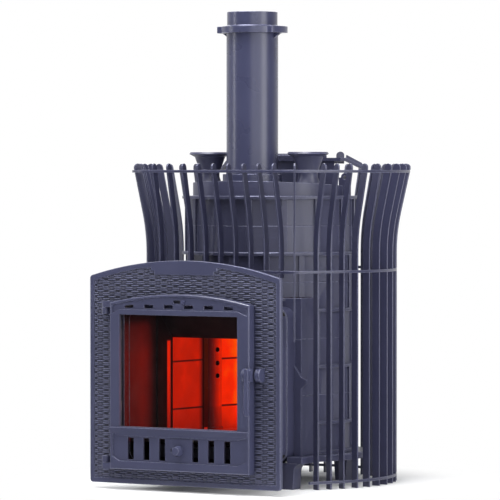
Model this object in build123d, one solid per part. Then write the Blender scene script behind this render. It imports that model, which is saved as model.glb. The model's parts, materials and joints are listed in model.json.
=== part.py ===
"""Sauna stove with a stacked cast body, a glazed firebox door and a slatted stone cage.

All sizes are millimetres. The floor is z = 0 and the door faces -y. Pieces are drawn around the
body's vertical axis, and stored with the middle of the overall depth at y = 0.
"""
import math
import os

from build123d import *

# Clearances
RUN_FIT = 0.05        # radial, a pin or shaft turning in its hole
SLIDE_GAP = 0.3       # between pieces that move past each other
SEAT_GAP = 0.05       # between a curved seat and the flat piece set on it

# Base plate and feet
BASE_R = 238
BASE_Z = 62
BASE_T = 16
PAD_HALF_W = 210
PAD_FRONT_Y = -203
FOOT_W = 36
FOOT_SOLE_W = 30
FOOT_GUSSET_R = 18
FRONT_FOOT_XY = (170, -185)
REAR_FOOT_XY = (140, 119)

# Stacked body rings
RIB_R = 208
LEDGE_R = 214
BORE_R = 190
POCKET_FLOOR = 198
FRONT_HALF_W = 184
FRONT_Y = -162
FRONT_WALL = 10
SHOULDER_Z = 454
SHOULDER_T = 7
FIRST_LEDGE_Z = 153
TIER_PITCH = 135
LEDGE_T = 7
SEAM_EDGE = 1
RIB_COUNT = 15
BORE_SIDES = 30
RIB_ANGLE = 4
RIB_PHASE = 16.5

# Top cap
SKIRT_R = 188
SKIRT_WALL = 10
CAP_RISE = 30         # middle of the lid above the top ledge
CAP_TILT = 3
LUG_X = 192
LUG_Y = 37
LUG_W = 22
LUG_RISE = 59
LUG_ROOT = 6
LUG_T = 12
LUG_HOLE_R = 5

# Firebox neck
NECK_HALF_W = 168
NECK_LOW_Z = 62
NECK_TOP_Z = 433
NECK_CORNER_R = 30
NECK_WALL = 6
NECK_STEP = 3
COLLAR_FRONT_Y = -200
THROAT_HALF_W = 162
THROAT_HIGH_Z = 405
LINTEL_LOW_Z = 355
LINTEL_FRONT_Y = -266
JAMB_T = 6
NECK_FLANGE_W = 12
NECK_FLANGE_T = 8
BRACKET_T = 8
BRACKET_TOP_Z = 294
BRACKET_HALF_W = 188
BOLT_ZS = (110, 245, 380)
BOLT_R = 6
BOLT_HEAD_T = 5

# Facing plate
PORTAL_Y = -395
PORTAL_T = 12
PORTAL_HALF_W = 264.5
PORTAL_LOW_Z = 14
PORTAL_SIDE_Z = 507
PORTAL_APEX_Z = 546
PORTAL_CORNER_R = 8
RIM_W = 12
FIELD_DEPTH = 4
OPENING_HALF_W = 166
OPENING_LOW_Z = 64
OPENING_TOP_Z = 430
OPENING_CORNER_R = 20
PLAQUE_HALF_W = 83
PLAQUE_LOW_Z = 511
PLAQUE_STEP = 9

# Door casting
DOOR_GAP = 2
DOOR_DEPTH = 25
DOOR_PLATE_T = 8
DOOR_WALL = 8
DOOR_LEFT_X = -191
DOOR_RIGHT_X = 196
DOOR_LOW_Z = 50
DOOR_SIDE_Z = 445
DOOR_APEX_Z = 467
GLASS_OPEN_HALF_W = 164
GLASS_OPEN_LOW_Z = 152
GLASS_OPEN_TOP_Z = 417
PANEL_DEPTH = 4
PANEL_TOP_Z = 130
PANEL_LOW_Z = 70
PANEL_END_RISE = 10
AIR_SLOT_W = 17
AIR_SLOT_LOW_Z = 74
AIR_SLOT_TOP_Z = 126
AIR_SLOT_XS = (46, 90, 134)
HEADER_LOW_Z = 429
HEADER_DEPTH = 3
TOP_SLOT_W = 25
TOP_SLOT_H = 8.4
TOP_SLOT_FALL = 3.6
TOP_SLOT_XS = (28, 83, 138)
TOP_SLOT_Z = 437
SILL_Z = 150
SILL_H = 14
SILL_OUT = 5

# Hinges of the door
HINGE_X = -213
HINGE_OUT = 10
HINGE_PIN_R = 3.5
KNUCKLE_R = 9.7
TOP_KNUCKLE_Z = (417, 433)
LOW_KNUCKLE_Z = (64, 80)
EAR_T = 15

# Glass, its seal and clips
GLASS_T = 4
GLASS_SEAL_T = 2
GLASS_LAP = 8
CLIP_T = 3
CLIP_W = 22
CLIP_LAP = 6
CLIP_REACH = 8
CLIP_ZS = (200, 370)
SCREW_R = 4
HEAD_T = 2
ROPE_W = 8

# Air slides
KNOB_Z = 99
KNOB_R = 13.5
KNOB_LEN = 15
KNOB_SIDES = 24
STEM_R = 4
LOW_TRAVEL = 18
LOW_SLIDE_T = 2.5
TOP_TRAVEL = 26
TOP_SLIDE_LAP = 1
TOP_SLIDE_T = 2
TOP_PIN_R = 3.4
TOP_PIN_X = 15.5
TOP_PIN_Z = 449
GUIDE_T = 2
GUIDE_HALF_W = 70

# Handle and keeper
HANDLE_X = 188
HANDLE_Z = 282
HUB_R = 16.5
HUB_X = (184, 207)
LEVER_X = 200.5
LEVER_HALF_W = 5.5
LEVER_SWELL = 7
LEVER_SWELL_Z = 208
LEVER_TIP_Z = 188
LEVER_T = 5
SPINDLE_R = 5
KEEPER_X = (209, 222)
KEEPER_Z = 282
KEEPER_R = 16.5
KEEPER_OUT = 25.5
KEEPER_GROOVE = 5


# Firebox lining
LINER_T = 8
LINER_LOW_Z = 124
LINER_TOP_Z = 400
LINER_FRONT = (152, -198)
LINER_SPLIT = (143, -74)
LINER_NEXT = (133, -8)
LINER_BACK = (118, 60)
REAR_LINER_R = 160
COLUMN_XY = (138, -40)
COLUMN_R = 21
COLUMN_FOOT_R = 25
COLUMN_FOOT_T = 6
COLUMN_HOLE_R = 6
COLUMN_HOLE_ZS = (256, 287, 320)
SEAM_GROOVE = 1.5
SEAM_ZS = (181, 296)
HEARTH_Z = 114
HEARTH_T = 10
GRATE_HALF_W = 70
GRATE_Y = (-120, 80)
GRATE_BARS = 9
PAN_HALF_W = 105
PAN_Y = (-360, 70)
PAN_H = 30
PAN_WALL = 2
PAN_GRIP_HALF_W = 30
PAN_GRIP_DEPTH = 8
PAN_GRIP_RISE = 22
PAN_GRIP_T = 3
BAFFLE_Z = 440
BAFFLE_T = 8
BAFFLE_BACK_Y = 100

# Flue
FLUE_Y = -83.5
PIPE_R = 62.5
PIPE_WALL = 3
FLANGE_Z = 1090
FLANGE_T = 16
FLANGE_HALF_L = 86
FLANGE_R = 74
GUSSET_H = 13
GUSSET_T = 8
ROUND_SIDES = 48
SPIGOT_TOP_Z = 1141
SPIGOT_TOP_R = 61
FLUE_COLLAR_H = 22
FLUE_COLLAR_W = 9

# Water funnels
FUNNEL_XY = (139, -54)
FUNNEL_RIM_R = 50.5
FUNNEL_CONE_R = 37
TUBE_R = 23.5
FUNNEL_WALL = 3
FUNNEL_RISE = 80
FUNNEL_CONE_RISE = 29
FUNNEL_SIDES = 32
TUBE_FOOT_R = 30

# Heater hood and its flaps: insets are counted from the flaps' hinge lines
FLAP_TURN = 31
HINGE_FRONT_X = 156
ROOF_FRONT_Y = 74
ROOF_BACK_Y = 160
ROOF_RISE = 58        # underside of the roof above the middle of the lid
ROOF_T = 8
HOOD_INSET = 15
HOOD_FRONT_Y = 80
HOOD_BACK_Y = 154
HOOD_WALL = 6
OUTLET_Y = (30, 84)
COVER_INSET = 33.5
COVER_RISE = 19
MOUTH_INSET = 45
FLAP_HINGE_RISE = 14
FLAP_BEND = 12
FLAP_REACH = 60
FLAP_SLOPE = 26
FLAP_PANEL_T = 8
FLAP_PANEL_INSET = 6
FLAP_LUG_R = 9
FLAP_LUG_T = 6
FLAP_LUG_START = 6
FLAP_EYE_R = 5
FLAP_PIN_R = 2
STOP_W = 8
CHAMBER_INSET = 26
CHAMBER_FRONT_Y = 95
CHAMBER_BACK_Y = 144
CHAMBER_DEPTH_Z = 490
CHAMBER_WALL = 5

# Slatted cage
SLAT_W = 20
SLAT_T = 4
CAGE_R = 302
CAGE_Y = 15
CAGE_FRONT = 238
CHAMFER_ANGLE = 63
CAGE_CORNER_R = 30
BEND_Z = 559
BEND_R = 455
FLARE_ANGLE = 12.3
SLAT_TOP_Z = 773
TIP_SIDES = 5
FRONT_SLAT_PITCH = 42
FRONT_SLAT_PAIRS = 4
FRONT_SLAT_LOW_Z = 503
CORNER_SLAT_LOW_Z = 352
CHAMFER_SLAT_STEPS = (67.4, 104)
LONG_SLATS = 30
LONG_SLAT_START = 65
BAR_H = 6.5
BAR_T = 5
TOP_BAR_Z = 756
WAIST_BAR_Z = 517
LOW_BAR_Z = 17
LOW_BAR_END_Y = -198

# Derived planes
BASE_TOP = BASE_Z + BASE_T
PORTAL_BACK = PORTAL_Y + PORTAL_T
DOOR_BACK = PORTAL_Y - DOOR_GAP
DOOR_FRONT = DOOR_BACK - DOOR_DEPTH
DOOR_INNER = DOOR_FRONT + DOOR_PLATE_T
PANEL_FACE = DOOR_FRONT + PANEL_DEPTH
HINGE_Y = PORTAL_Y - HINGE_OUT
HUB_BACK = DOOR_FRONT - SLIDE_GAP
LEVER_FRONT = HUB_BACK - HUB_R - LEVER_T
LEDGE_ZS = [FIRST_LEDGE_Z + TIER_PITCH * i for i in range(5)]
SEAM_Z = [z + TIER_PITCH / 2 for z in LEDGE_ZS[:4]]
CAP_MID_Z = LEDGE_ZS[4] + CAP_RISE
LUG_TOP_Z = LEDGE_ZS[4] + LUG_RISE
FUNNEL_TOP_Z = CAP_MID_Z + FUNNEL_RISE
FUNNEL_CONE_Z = CAP_MID_Z + FUNNEL_CONE_RISE
ROOF_Z = CAP_MID_Z + ROOF_RISE
COVER_TOP_Z = ROOF_Z + COVER_RISE
FLAP_HINGE_Z = ROOF_Z + FLAP_HINGE_RISE
FLAP_LEN = (ROOF_BACK_Y - ROOF_FRONT_Y) / math.cos(math.radians(FLAP_TURN))
LONG_SLAT_PITCH = (360 - 2 * LONG_SLAT_START) / (LONG_SLATS - 1)


def flare_at(z):
    """How far the cage's outer edge has moved out at height z."""
    turn = math.radians(FLARE_ANGLE)
    arc_top = BEND_Z + BEND_R * math.sin(turn)
    if z <= BEND_Z:
        return 0.0
    if z <= arc_top:
        return BEND_R - math.sqrt(BEND_R ** 2 - (z - BEND_Z) ** 2)
    return BEND_R * (1 - math.cos(turn)) + (z - arc_top) * math.tan(turn)


BACK_TURN = math.radians(LONG_SLAT_PITCH / 2)
BACK_REACH = CAGE_Y + SLAT_T / 2 * math.sin(BACK_TURN)
BACK_REACH += (CAGE_R + flare_at(SLAT_TOP_Z - SLAT_W / 2)) * math.cos(BACK_TURN)
AXIS_Y = (-LEVER_FRONT - BACK_REACH) / 2


def slab(x0, x1, y0, y1, z0, z1):
    """Box between two opposite corners."""
    centre = Pos((x0 + x1) / 2, (y0 + y1) / 2, (z0 + z1) / 2)
    return centre * Box(abs(x1 - x0), abs(y1 - y0), abs(z1 - z0))


def rod(radius, start, end):
    """Round bar between two points."""
    a, b = Vector(*start), Vector(*end)
    return extrude(Plane(origin=a, z_dir=b - a) * Circle(radius), (b - a).length)


def facing(y):
    """Plane whose sketch lies in X and Z, looking at the front."""
    return Plane(origin=(0, y, 0), x_dir=(1, 0, 0), z_dir=(0, -1, 0))


def front_plate(sketch, y_front, y_back):
    """Sketch in X and Z, given thickness from its front plane to its back plane."""
    return extrude(facing(y_front) * sketch, -(y_back - y_front))


def rect_xz(x0, x1, z0, z1):
    return Pos((x0 + x1) / 2, (z0 + z1) / 2) * Rectangle(x1 - x0, z1 - z0)


def both_sides(make):
    """The piece made for the right side, and its mirror image on the left."""
    right = make()
    return [right, mirror(right, about=Plane.YZ)]


def faceted(profile, sides, x, y):
    """Solid with a regular polygon for its plan at each radius and height of the profile."""
    plans = [Pos(x, y, z) * RegularPolygon(radius, sides) for radius, z in profile]
    return loft(plans, ruled=True)


def turned(shape, angle):
    """Turn about the body axis to an angle counted from the front towards +x."""
    return Rot(0, 0, angle - 90) * shape


def write(node, *shapes):
    solids = [s for shape in shapes for s in shape.solids()]
    moved = [Pos(0, AXIS_Y, 0) * s for s in solids]
    export_step(moved[0] if len(moved) == 1 else Compound(children=moved), f"parts/{node}.step")


# Base plate and feet

def base_plate():
    plan = Circle(BASE_R) + Pos(0, PAD_FRONT_Y / 2) * Rectangle(2 * PAD_HALF_W, -PAD_FRONT_Y)
    plan -= Pos(0, PAD_FRONT_Y - BASE_R) * Rectangle(4 * BASE_R, 2 * BASE_R)
    notch_w = 2 * (NECK_HALF_W + SLIDE_GAP)
    plan -= Pos(0, FRONT_Y - BASE_R / 2) * Rectangle(notch_w, BASE_R)
    plate = extrude(Pos(0, 0, BASE_Z) * plan, BASE_T)
    rim = plate.edges().group_by(Axis.Z)[-1].filter_by(GeomType.CIRCLE)
    return chamfer(rim, 2)


def foot_profile():
    """Front view of a foot: a tapered leg whose top flares out in two hollow curves."""
    leg, sole, flare = FOOT_W / 2, FOOT_SOLE_W / 2, FOOT_GUSSET_R
    start = BASE_Z - flare
    right = Line((sole, 0), (leg, start))
    right += CenterArc((leg + flare, start), flare, 180, -90)
    left = Line((-sole, 0), (-leg, start))
    left += CenterArc((-leg - flare, start), flare, 0, 90)
    ends = Line((-sole, 0), (sole, 0)) + Line((-leg - flare, BASE_Z), (leg + flare, BASE_Z))
    return make_face(right + left + ends)


def foot(x, y):
    leg = extrude(facing(y - FOOT_W / 2) * (Pos(x, 0) * foot_profile()), -FOOT_W)
    return leg


# Stacked rings

def window_half(z_open, z_closed):
    """Cutter for half a window, from the seam to the ledge."""
    half = RIB_R * math.sin(math.radians(180 / RIB_COUNT - RIB_ANGLE / 2))
    return slab(POCKET_FLOOR, LEDGE_R + 1, -half, half, z_open, z_closed)


def window_row(z_open, z_closed, phase):
    cutter = window_half(z_open, z_closed)
    pitch = 360 / RIB_COUNT
    return [turned(cutter, phase + pitch * (i + 0.5)) for i in range(RIB_COUNT)]


def phase_above(tier):
    """Rib angle of the windows above ledge number tier: each tier is shifted by half a pitch."""
    return RIB_PHASE + (180 / RIB_COUNT if tier % 2 == 0 else 0)


def bore(z0, z1):
    """Inside of the castings: a polygon with two sides for each window."""
    plan = RegularPolygon(BORE_R, BORE_SIDES, major_radius=False)
    return extrude(Pos(0, 0, z0) * plan, z1 - z0)


def ring_shell(z0, z1, ledge_z):
    """Round blank of a ring with its ledge, before windows and the squared front."""
    low, high = ledge_z - LEDGE_T / 2, ledge_z + LEDGE_T / 2
    points = [(0, z0), (RIB_R, z0), (RIB_R, low), (LEDGE_R, low), (LEDGE_R, high), (RIB_R, high),
              (RIB_R, z1), (0, z1)]
    return revolve(Plane.XZ * make_face(Polyline(*points, close=True)), Axis.Z)


def squared_front(z0, z1, inset, edge):
    """Box front of the body, with its cut seam edges."""
    half, front = FRONT_HALF_W - inset, FRONT_Y + inset
    block = slab(-half, half, front, 0, z0, z1)
    if edge:
        ends = block.edges().filter_by(Axis.X).group_by(Axis.Y)[0]
        sides = block.edges().filter_by(Axis.Y)
        block = chamfer(ends + sides, edge)
    return block


def body_ring(tier):
    z0 = BASE_TOP if tier == 0 else SEAM_Z[tier - 1]
    z1 = SEAM_Z[tier]
    ledge_z = LEDGE_ZS[tier]
    ring = ring_shell(z0, z1, ledge_z)
    ring -= window_row(z1, ledge_z + LEDGE_T / 2, phase_above(tier))
    bottom = z0 if tier else z0 + LEDGE_T
    ring -= window_row(bottom, ledge_z - LEDGE_T / 2, phase_above(tier - 1))
    if z0 > SHOULDER_Z:
        return ring - bore(z0, z1)
    box_top = min(z1, SHOULDER_Z)
    ring -= slab(-LEDGE_R, LEDGE_R, -2 * LEDGE_R, FRONT_Y, z0, box_top)
    ring += squared_front(z0, box_top, 0, SEAM_EDGE)
    ring -= cavity(z0, box_top)
    if z1 > SHOULDER_Z:
        ring += front_shoulder()
        ring -= bore(box_top, z1)
    return ring - throat(z0, box_top)


def front_shoulder():
    """Ledge where the squared front ends and the windows above it begin."""
    lip = Pos(0, 0, SHOULDER_Z - SHOULDER_T / 2) * Cylinder(LEDGE_R, SHOULDER_T)
    lip &= slab(-FRONT_HALF_W, FRONT_HALF_W, -LEDGE_R, FRONT_Y + FRONT_WALL,
                SHOULDER_Z - SHOULDER_T, SHOULDER_Z)
    return lip


def cavity(z0, z1):
    """Inside of the body: a bore with a squared front."""
    back = bore(z0, z1) - slab(-LEDGE_R, LEDGE_R, -LEDGE_R, FRONT_Y + FRONT_WALL, z0, z1)
    return back + squared_front(z0, z1, FRONT_WALL, 0)


def throat(z0, z1):
    """Opening from the neck into the body."""
    high = min(z1, THROAT_HIGH_Z)
    return slab(-THROAT_HALF_W, THROAT_HALF_W, FRONT_Y - 1, FRONT_Y + FRONT_WALL + 1, z0, high)


# Top cap

def above_lid(drop):
    """Everything above the tilted lid plane, lowered by drop."""
    block = Box(4 * LEDGE_R, 4 * LEDGE_R, 400, align=(Align.CENTER, Align.CENTER, Align.MIN))
    return Pos(0, 0, CAP_MID_Z - drop) * Rot(-CAP_TILT, 0, 0) * block


def below_lid():
    """Everything below the tilted lid plane."""
    block = Box(4 * LEDGE_R, 4 * LEDGE_R, 400, align=(Align.CENTER, Align.CENTER, Align.MAX))
    return Pos(0, 0, CAP_MID_Z) * Rot(-CAP_TILT, 0, 0) * block


def lid_z(y):
    return CAP_MID_Z - y * math.tan(math.radians(CAP_TILT))


def lifting_lug():
    reach = LUG_W / 2
    foot_z = LEDGE_ZS[4] + LEDGE_T / 2
    root = LUG_X - reach - LUG_ROOT
    plate = slab(root, LUG_X + reach, -LUG_T / 2, LUG_T / 2, foot_z, LUG_TOP_Z - reach)
    eye_z = LUG_TOP_Z - reach
    eye = rod(reach, (LUG_X, -LUG_T / 2, eye_z), (LUG_X, LUG_T / 2, eye_z))
    hole = rod(LUG_HOLE_R, (LUG_X, -LUG_T, eye_z), (LUG_X, LUG_T, eye_z))
    return Pos(0, LUG_Y, 0) * (plate + eye - hole)


def top_cap():
    z0, flange = SEAM_Z[3], LEDGE_ZS[4]
    low, high = flange - LEDGE_T / 2, flange + LEDGE_T / 2
    z1 = CAP_MID_Z + SKIRT_R
    points = [(0, z0), (RIB_R, z0), (RIB_R, low), (LEDGE_R, low), (LEDGE_R, high), (SKIRT_R, high),
              (SKIRT_R, z1), (0, z1)]
    cap = revolve(Plane.XZ * make_face(Polyline(*points, close=True)), Axis.Z)
    cap -= window_row(z0, low, phase_above(3))
    cap -= above_lid(0)
    inner_r = SKIRT_R - SKIRT_WALL
    hollow = Pos(0, 0, z0) * Cylinder(inner_r, 2 * SKIRT_R, align=(Align.CENTER, Align.CENTER, Align.MIN))
    cap -= hollow - above_lid(SKIRT_WALL)
    cap += both_sides(lifting_lug)
    cap -= rod(PIPE_R - PIPE_WALL, (0, FLUE_Y, z0), (0, FLUE_Y, 2 * CAP_MID_Z))
    cap -= both_sides(funnel_hole)
    cap -= chamber_block(0, z0, 2 * CAP_MID_Z)
    return cap


def funnel_hole():
    x, y = FUNNEL_XY
    return rod(TUBE_R - FUNNEL_WALL, (x, y, LEDGE_ZS[4]), (x, y, 2 * CAP_MID_Z))


# Neck and its fittings

def rounded_tube(half_w, low, top, corner, wall, y_front, y_back):
    outer = Pos(0, (low + top) / 2) * RectangleRounded(2 * half_w, top - low, corner)
    inner = Pos(0, (low + top) / 2) * RectangleRounded(2 * (half_w - wall), top - low - 2 * wall,
                                                       corner - wall)
    return front_plate(outer - inner, y_front, y_back)


def firebox_neck():
    collar = rounded_tube(NECK_HALF_W, NECK_LOW_Z, NECK_TOP_Z, NECK_CORNER_R, NECK_WALL,
                          COLLAR_FRONT_Y, FRONT_Y)
    half, low, top = NECK_HALF_W - NECK_STEP, NECK_LOW_Z + NECK_STEP, NECK_TOP_Z - NECK_STEP
    corner = NECK_CORNER_R - NECK_STEP
    tunnel = rounded_tube(half, low, top, corner, NECK_WALL, PORTAL_BACK, COLLAR_FRONT_Y)
    grow = NECK_FLANGE_W
    flange = rounded_tube(half + grow, low - grow, top + grow, corner + grow, NECK_WALL + grow,
                          PORTAL_BACK, PORTAL_BACK + NECK_FLANGE_T)
    return collar + tunnel + flange


def portal_bolts():
    """Hexagon heads behind the neck's front flange."""
    x = NECK_HALF_W - NECK_STEP + NECK_FLANGE_W / 2
    seat = PORTAL_BACK + NECK_FLANGE_T
    bolts = []
    for side in (-1, 1):
        for z in BOLT_ZS:
            head = Pos(side * x, z) * RegularPolygon(BOLT_R, 6)
            bolts.append(extrude(facing(seat) * head, -BOLT_HEAD_T))
    return bolts


def neck_bracket():
    """Flat plate beside the neck whose top ends in a hook."""
    inner, edge = NECK_HALF_W + SLIDE_GAP, BRACKET_HALF_W
    top = BRACKET_TOP_Z
    outline = Polyline((inner, BASE_TOP), (edge, BASE_TOP), (edge, top - 55), (edge + 14, top - 42),
                       (edge + 14, top - 34), (edge, top - 28), (inner, top), close=True)
    return front_plate(make_face(outline), FRONT_Y - BRACKET_T, FRONT_Y)


def throat_frame():
    """Cast frame at the inner end of the tunnel: two jambs and a lintel that slopes to the throat."""
    half = NECK_HALF_W - NECK_STEP - NECK_WALL - SEAT_GAP
    low, top = HEARTH_Z + HEARTH_T, NECK_TOP_Z - NECK_STEP - NECK_WALL - SEAT_GAP
    back, front = COLLAR_FRONT_Y - SLIDE_GAP, LINTEL_FRONT_Y
    side = Polyline((back, top), (front, top), (back, LINTEL_LOW_Z), close=True)
    lintel = extrude(Plane.YZ * make_face(side), half, both=True)
    jambs = slab(-half, half, front, back, low, top)
    jambs -= slab(JAMB_T - half, half - JAMB_T, front, back, low, top)
    corner = NECK_CORNER_R - NECK_STEP - NECK_WALL
    centre = (NECK_LOW_Z + NECK_TOP_Z) / 2
    inside = Pos(0, centre) * RectangleRounded(2 * half, 2 * (top - centre), corner)
    return (lintel + jambs) & front_plate(inside, front, back)


# Facing plate

def arched(x0, x1, low, side, apex):
    """Outline with straight sides and an arched top."""
    base = Polyline((x0, side), (x0, low), (x1, low), (x1, side))
    return make_face(base + ThreePointArc((x1, side), ((x0 + x1) / 2, apex), (x0, side)))


def portal():
    low, side, apex, half = PORTAL_LOW_Z, PORTAL_SIDE_Z, PORTAL_APEX_Z, PORTAL_HALF_W
    outline = fillet(arched(-half, half, low, side, apex).vertices(), PORTAL_CORNER_R)
    plate = front_plate(outline, PORTAL_Y, PORTAL_BACK)
    field = arched(RIM_W - half, half - RIM_W, low + RIM_W, side - RIM_W, apex - RIM_W)
    step = PLAQUE_STEP
    field -= rect_xz(-PLAQUE_HALF_W, PLAQUE_HALF_W, PLAQUE_LOW_Z, apex)
    field -= rect_xz(-PLAQUE_HALF_W - step, PLAQUE_HALF_W + step, PLAQUE_LOW_Z + step, apex)
    plate -= front_plate(field, PORTAL_Y, PORTAL_Y + FIELD_DEPTH)
    margin = 10
    seat = rect_xz(DOOR_LEFT_X + margin, DOOR_RIGHT_X - margin, DOOR_LOW_Z + margin, DOOR_SIDE_Z - 5)
    plate += front_plate(seat, PORTAL_Y, PORTAL_Y + FIELD_DEPTH)
    hole = RectangleRounded(2 * OPENING_HALF_W, OPENING_TOP_Z - OPENING_LOW_Z, OPENING_CORNER_R)
    hole = Pos(0, (OPENING_TOP_Z + OPENING_LOW_Z) / 2) * hole
    plate -= front_plate(hole, PORTAL_Y, PORTAL_BACK)
    for z0, z1 in (TOP_KNUCKLE_Z, LOW_KNUCKLE_Z):
        plate += knuckle(z0, z1, PORTAL_Y + FIELD_DEPTH)
    return plate


def knuckle(z0, z1, root_y):
    """Round eye on a short neck from the plate, bored for the hinge pin."""
    eye = rod(KNUCKLE_R, (HINGE_X, HINGE_Y, z0), (HINGE_X, HINGE_Y, z1))
    stem = slab(HINGE_X - KNUCKLE_R, HINGE_X + KNUCKLE_R, HINGE_Y, root_y, z0, z1)
    return eye + stem - rod(HINGE_PIN_R, (HINGE_X, HINGE_Y, z0), (HINGE_X, HINGE_Y, z1))


def hinge_pins():
    gap = SLIDE_GAP
    upper = rod(HINGE_PIN_R, (HINGE_X, HINGE_Y, TOP_KNUCKLE_Z[0]),
                (HINGE_X, HINGE_Y, TOP_KNUCKLE_Z[1] + gap + EAR_T + 1))
    lower = rod(HINGE_PIN_R, (HINGE_X, HINGE_Y, LOW_KNUCKLE_Z[0] - gap - EAR_T - 1),
                (HINGE_X, HINGE_Y, LOW_KNUCKLE_Z[1]))
    return upper, lower


def half_disc(back_y, radius, z):
    """Half a disc in Y and Z, its flat side at back_y and its round side to the front."""
    low, high = (back_y, z - radius), (back_y, z + radius)
    return make_face(Line(low, high) + ThreePointArc(high, (back_y - radius, z), low))


def latch_keeper():
    """Round-nosed keeper block on the facing plate, grooved on the side next to the handle."""
    root_y, nose_y = PORTAL_Y + FIELD_DEPTH, PORTAL_Y - KEEPER_OUT + KEEPER_R
    x0, x1 = KEEPER_X
    nose = Pos(x0, 0, 0) * extrude(Plane.YZ * half_disc(nose_y, KEEPER_R, KEEPER_Z), x1 - x0)
    block = nose + slab(x0, x1, nose_y, root_y, KEEPER_Z - KEEPER_R, KEEPER_Z + KEEPER_R)
    groove = slab(x0, x0 + KEEPER_GROOVE, nose_y - 6, nose_y, KEEPER_Z - KEEPER_R, KEEPER_Z + KEEPER_R)
    return block - groove


# Door

def door_outline(inset):
    return arched(DOOR_LEFT_X + inset, DOOR_RIGHT_X - inset, DOOR_LOW_Z + inset, DOOR_SIDE_Z - inset,
                  DOOR_APEX_Z - inset)


def air_slots():
    sketch = Sketch()
    for x in AIR_SLOT_XS:
        for side in (-1, 1):
            sketch += rect_xz(side * x - AIR_SLOT_W / 2, side * x + AIR_SLOT_W / 2, AIR_SLOT_LOW_Z,
                              AIR_SLOT_TOP_Z)
    return sketch


def top_slots():
    """Header slots: the outer two have tops that fall towards the door's shoulders."""
    sketch = Sketch()
    low, high = TOP_SLOT_Z - TOP_SLOT_H / 2, TOP_SLOT_Z + TOP_SLOT_H / 2
    for x in TOP_SLOT_XS:
        fall = TOP_SLOT_FALL if x == TOP_SLOT_XS[-1] else 0
        x0, x1 = x - TOP_SLOT_W / 2, x + TOP_SLOT_W / 2
        for side in (-1, 1):
            sketch += make_face(Polyline((side * x0, low), (side * x1, low), (side * x1, high - fall),
                                         (side * x0, high), close=True))
    return sketch


def panel_recess():
    """Recess of the air panel: level in the middle, its ends raised."""
    x0, x1 = DOOR_LEFT_X + DOOR_WALL, DOOR_RIGHT_X - DOOR_WALL
    turn, rise = GLASS_OPEN_HALF_W, PANEL_END_RISE
    return make_face(Polyline((x0, PANEL_LOW_Z + rise), (-turn, PANEL_LOW_Z), (turn, PANEL_LOW_Z),
                              (x1, PANEL_LOW_Z + rise), (x1, PANEL_TOP_Z + rise / 2), (turn, PANEL_TOP_Z),
                              (-turn, PANEL_TOP_Z), (x0, PANEL_TOP_Z + rise / 2), close=True))


def header_recess():
    """Recess of the header, between the arched rim and the lower moulding."""
    x0, x1, turn = DOOR_LEFT_X + 6, DOOR_RIGHT_X - 6, GLASS_OPEN_HALF_W
    low = HEADER_LOW_Z
    rim = arched(x0, x1, low - 40, DOOR_SIDE_Z - 6, DOOR_APEX_Z - 6)
    below = Polyline((x0 - 1, low - 41), (x1 + 1, low - 41), (x1 + 1, low - PANEL_END_RISE), (turn, low),
                     (-turn, low), (x0 - 1, low - PANEL_END_RISE), close=True)
    return rim - make_face(below)


def door_ear(z0, z1):
    """Arm from the door's side to the hinge, bored to run on the pin."""
    eye = rod(KNUCKLE_R, (HINGE_X, HINGE_Y, z0), (HINGE_X, HINGE_Y, z1))
    arm = slab(HINGE_X, DOOR_LEFT_X + DOOR_WALL, HINGE_Y - KNUCKLE_R, DOOR_BACK, z0, z1)
    bore = rod(HINGE_PIN_R + RUN_FIT, (HINGE_X, HINGE_Y, z0), (HINGE_X, HINGE_Y, z1))
    return eye + arm - bore


def stem_slot(centre_x, centre_z, radius, travel):
    """Slot for a stem that slides to the left from its centre."""
    length = travel + 2 * radius
    return Pos(centre_x - travel / 2, centre_z) * SlotOverall(length, 2 * radius)


def clip_places():
    """Side and height of each clip that holds the glass."""
    return [(side, z) for side in (-1, 1) for z in CLIP_ZS]


def door_frame():
    body = front_plate(door_outline(0), DOOR_FRONT, DOOR_BACK)
    rim = body.faces().sort_by(Axis.Y)[0].outer_wire().edges()
    body = chamfer(rim, 2)
    body -= front_plate(door_outline(DOOR_WALL), DOOR_INNER, DOOR_BACK)
    glass_hole = rect_xz(-GLASS_OPEN_HALF_W, GLASS_OPEN_HALF_W, GLASS_OPEN_LOW_Z, GLASS_OPEN_TOP_Z)
    body -= front_plate(glass_hole, DOOR_FRONT, DOOR_INNER)
    body -= front_plate(panel_recess(), DOOR_FRONT, PANEL_FACE)
    body -= front_plate(header_recess(), DOOR_FRONT, DOOR_FRONT + HEADER_DEPTH)
    body += door_sill()
    body -= front_plate(air_slots() + top_slots(), DOOR_FRONT, DOOR_INNER)
    body -= front_plate(stem_slot(0, KNOB_Z, STEM_R + SLIDE_GAP, LOW_TRAVEL), DOOR_FRONT, DOOR_INNER)
    body -= front_plate(stem_slot(TOP_PIN_X, TOP_PIN_Z, TOP_PIN_R + SLIDE_GAP, TOP_TRAVEL),
                        DOOR_FRONT, DOOR_INNER)
    body += door_ear(TOP_KNUCKLE_Z[1] + SLIDE_GAP, TOP_KNUCKLE_Z[1] + SLIDE_GAP + EAR_T)
    body += door_ear(LOW_KNUCKLE_Z[0] - SLIDE_GAP - EAR_T, LOW_KNUCKLE_Z[0] - SLIDE_GAP)
    boss = rod(SPINDLE_R + 4, (HANDLE_X, DOOR_INNER, HANDLE_Z), (HANDLE_X, DOOR_BACK, HANDLE_Z))
    body += boss
    body -= rod(SPINDLE_R + RUN_FIT, (HANDLE_X, DOOR_FRONT - 1, HANDLE_Z),
                (HANDLE_X, DOOR_BACK + 1, HANDLE_Z))
    return body


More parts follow.
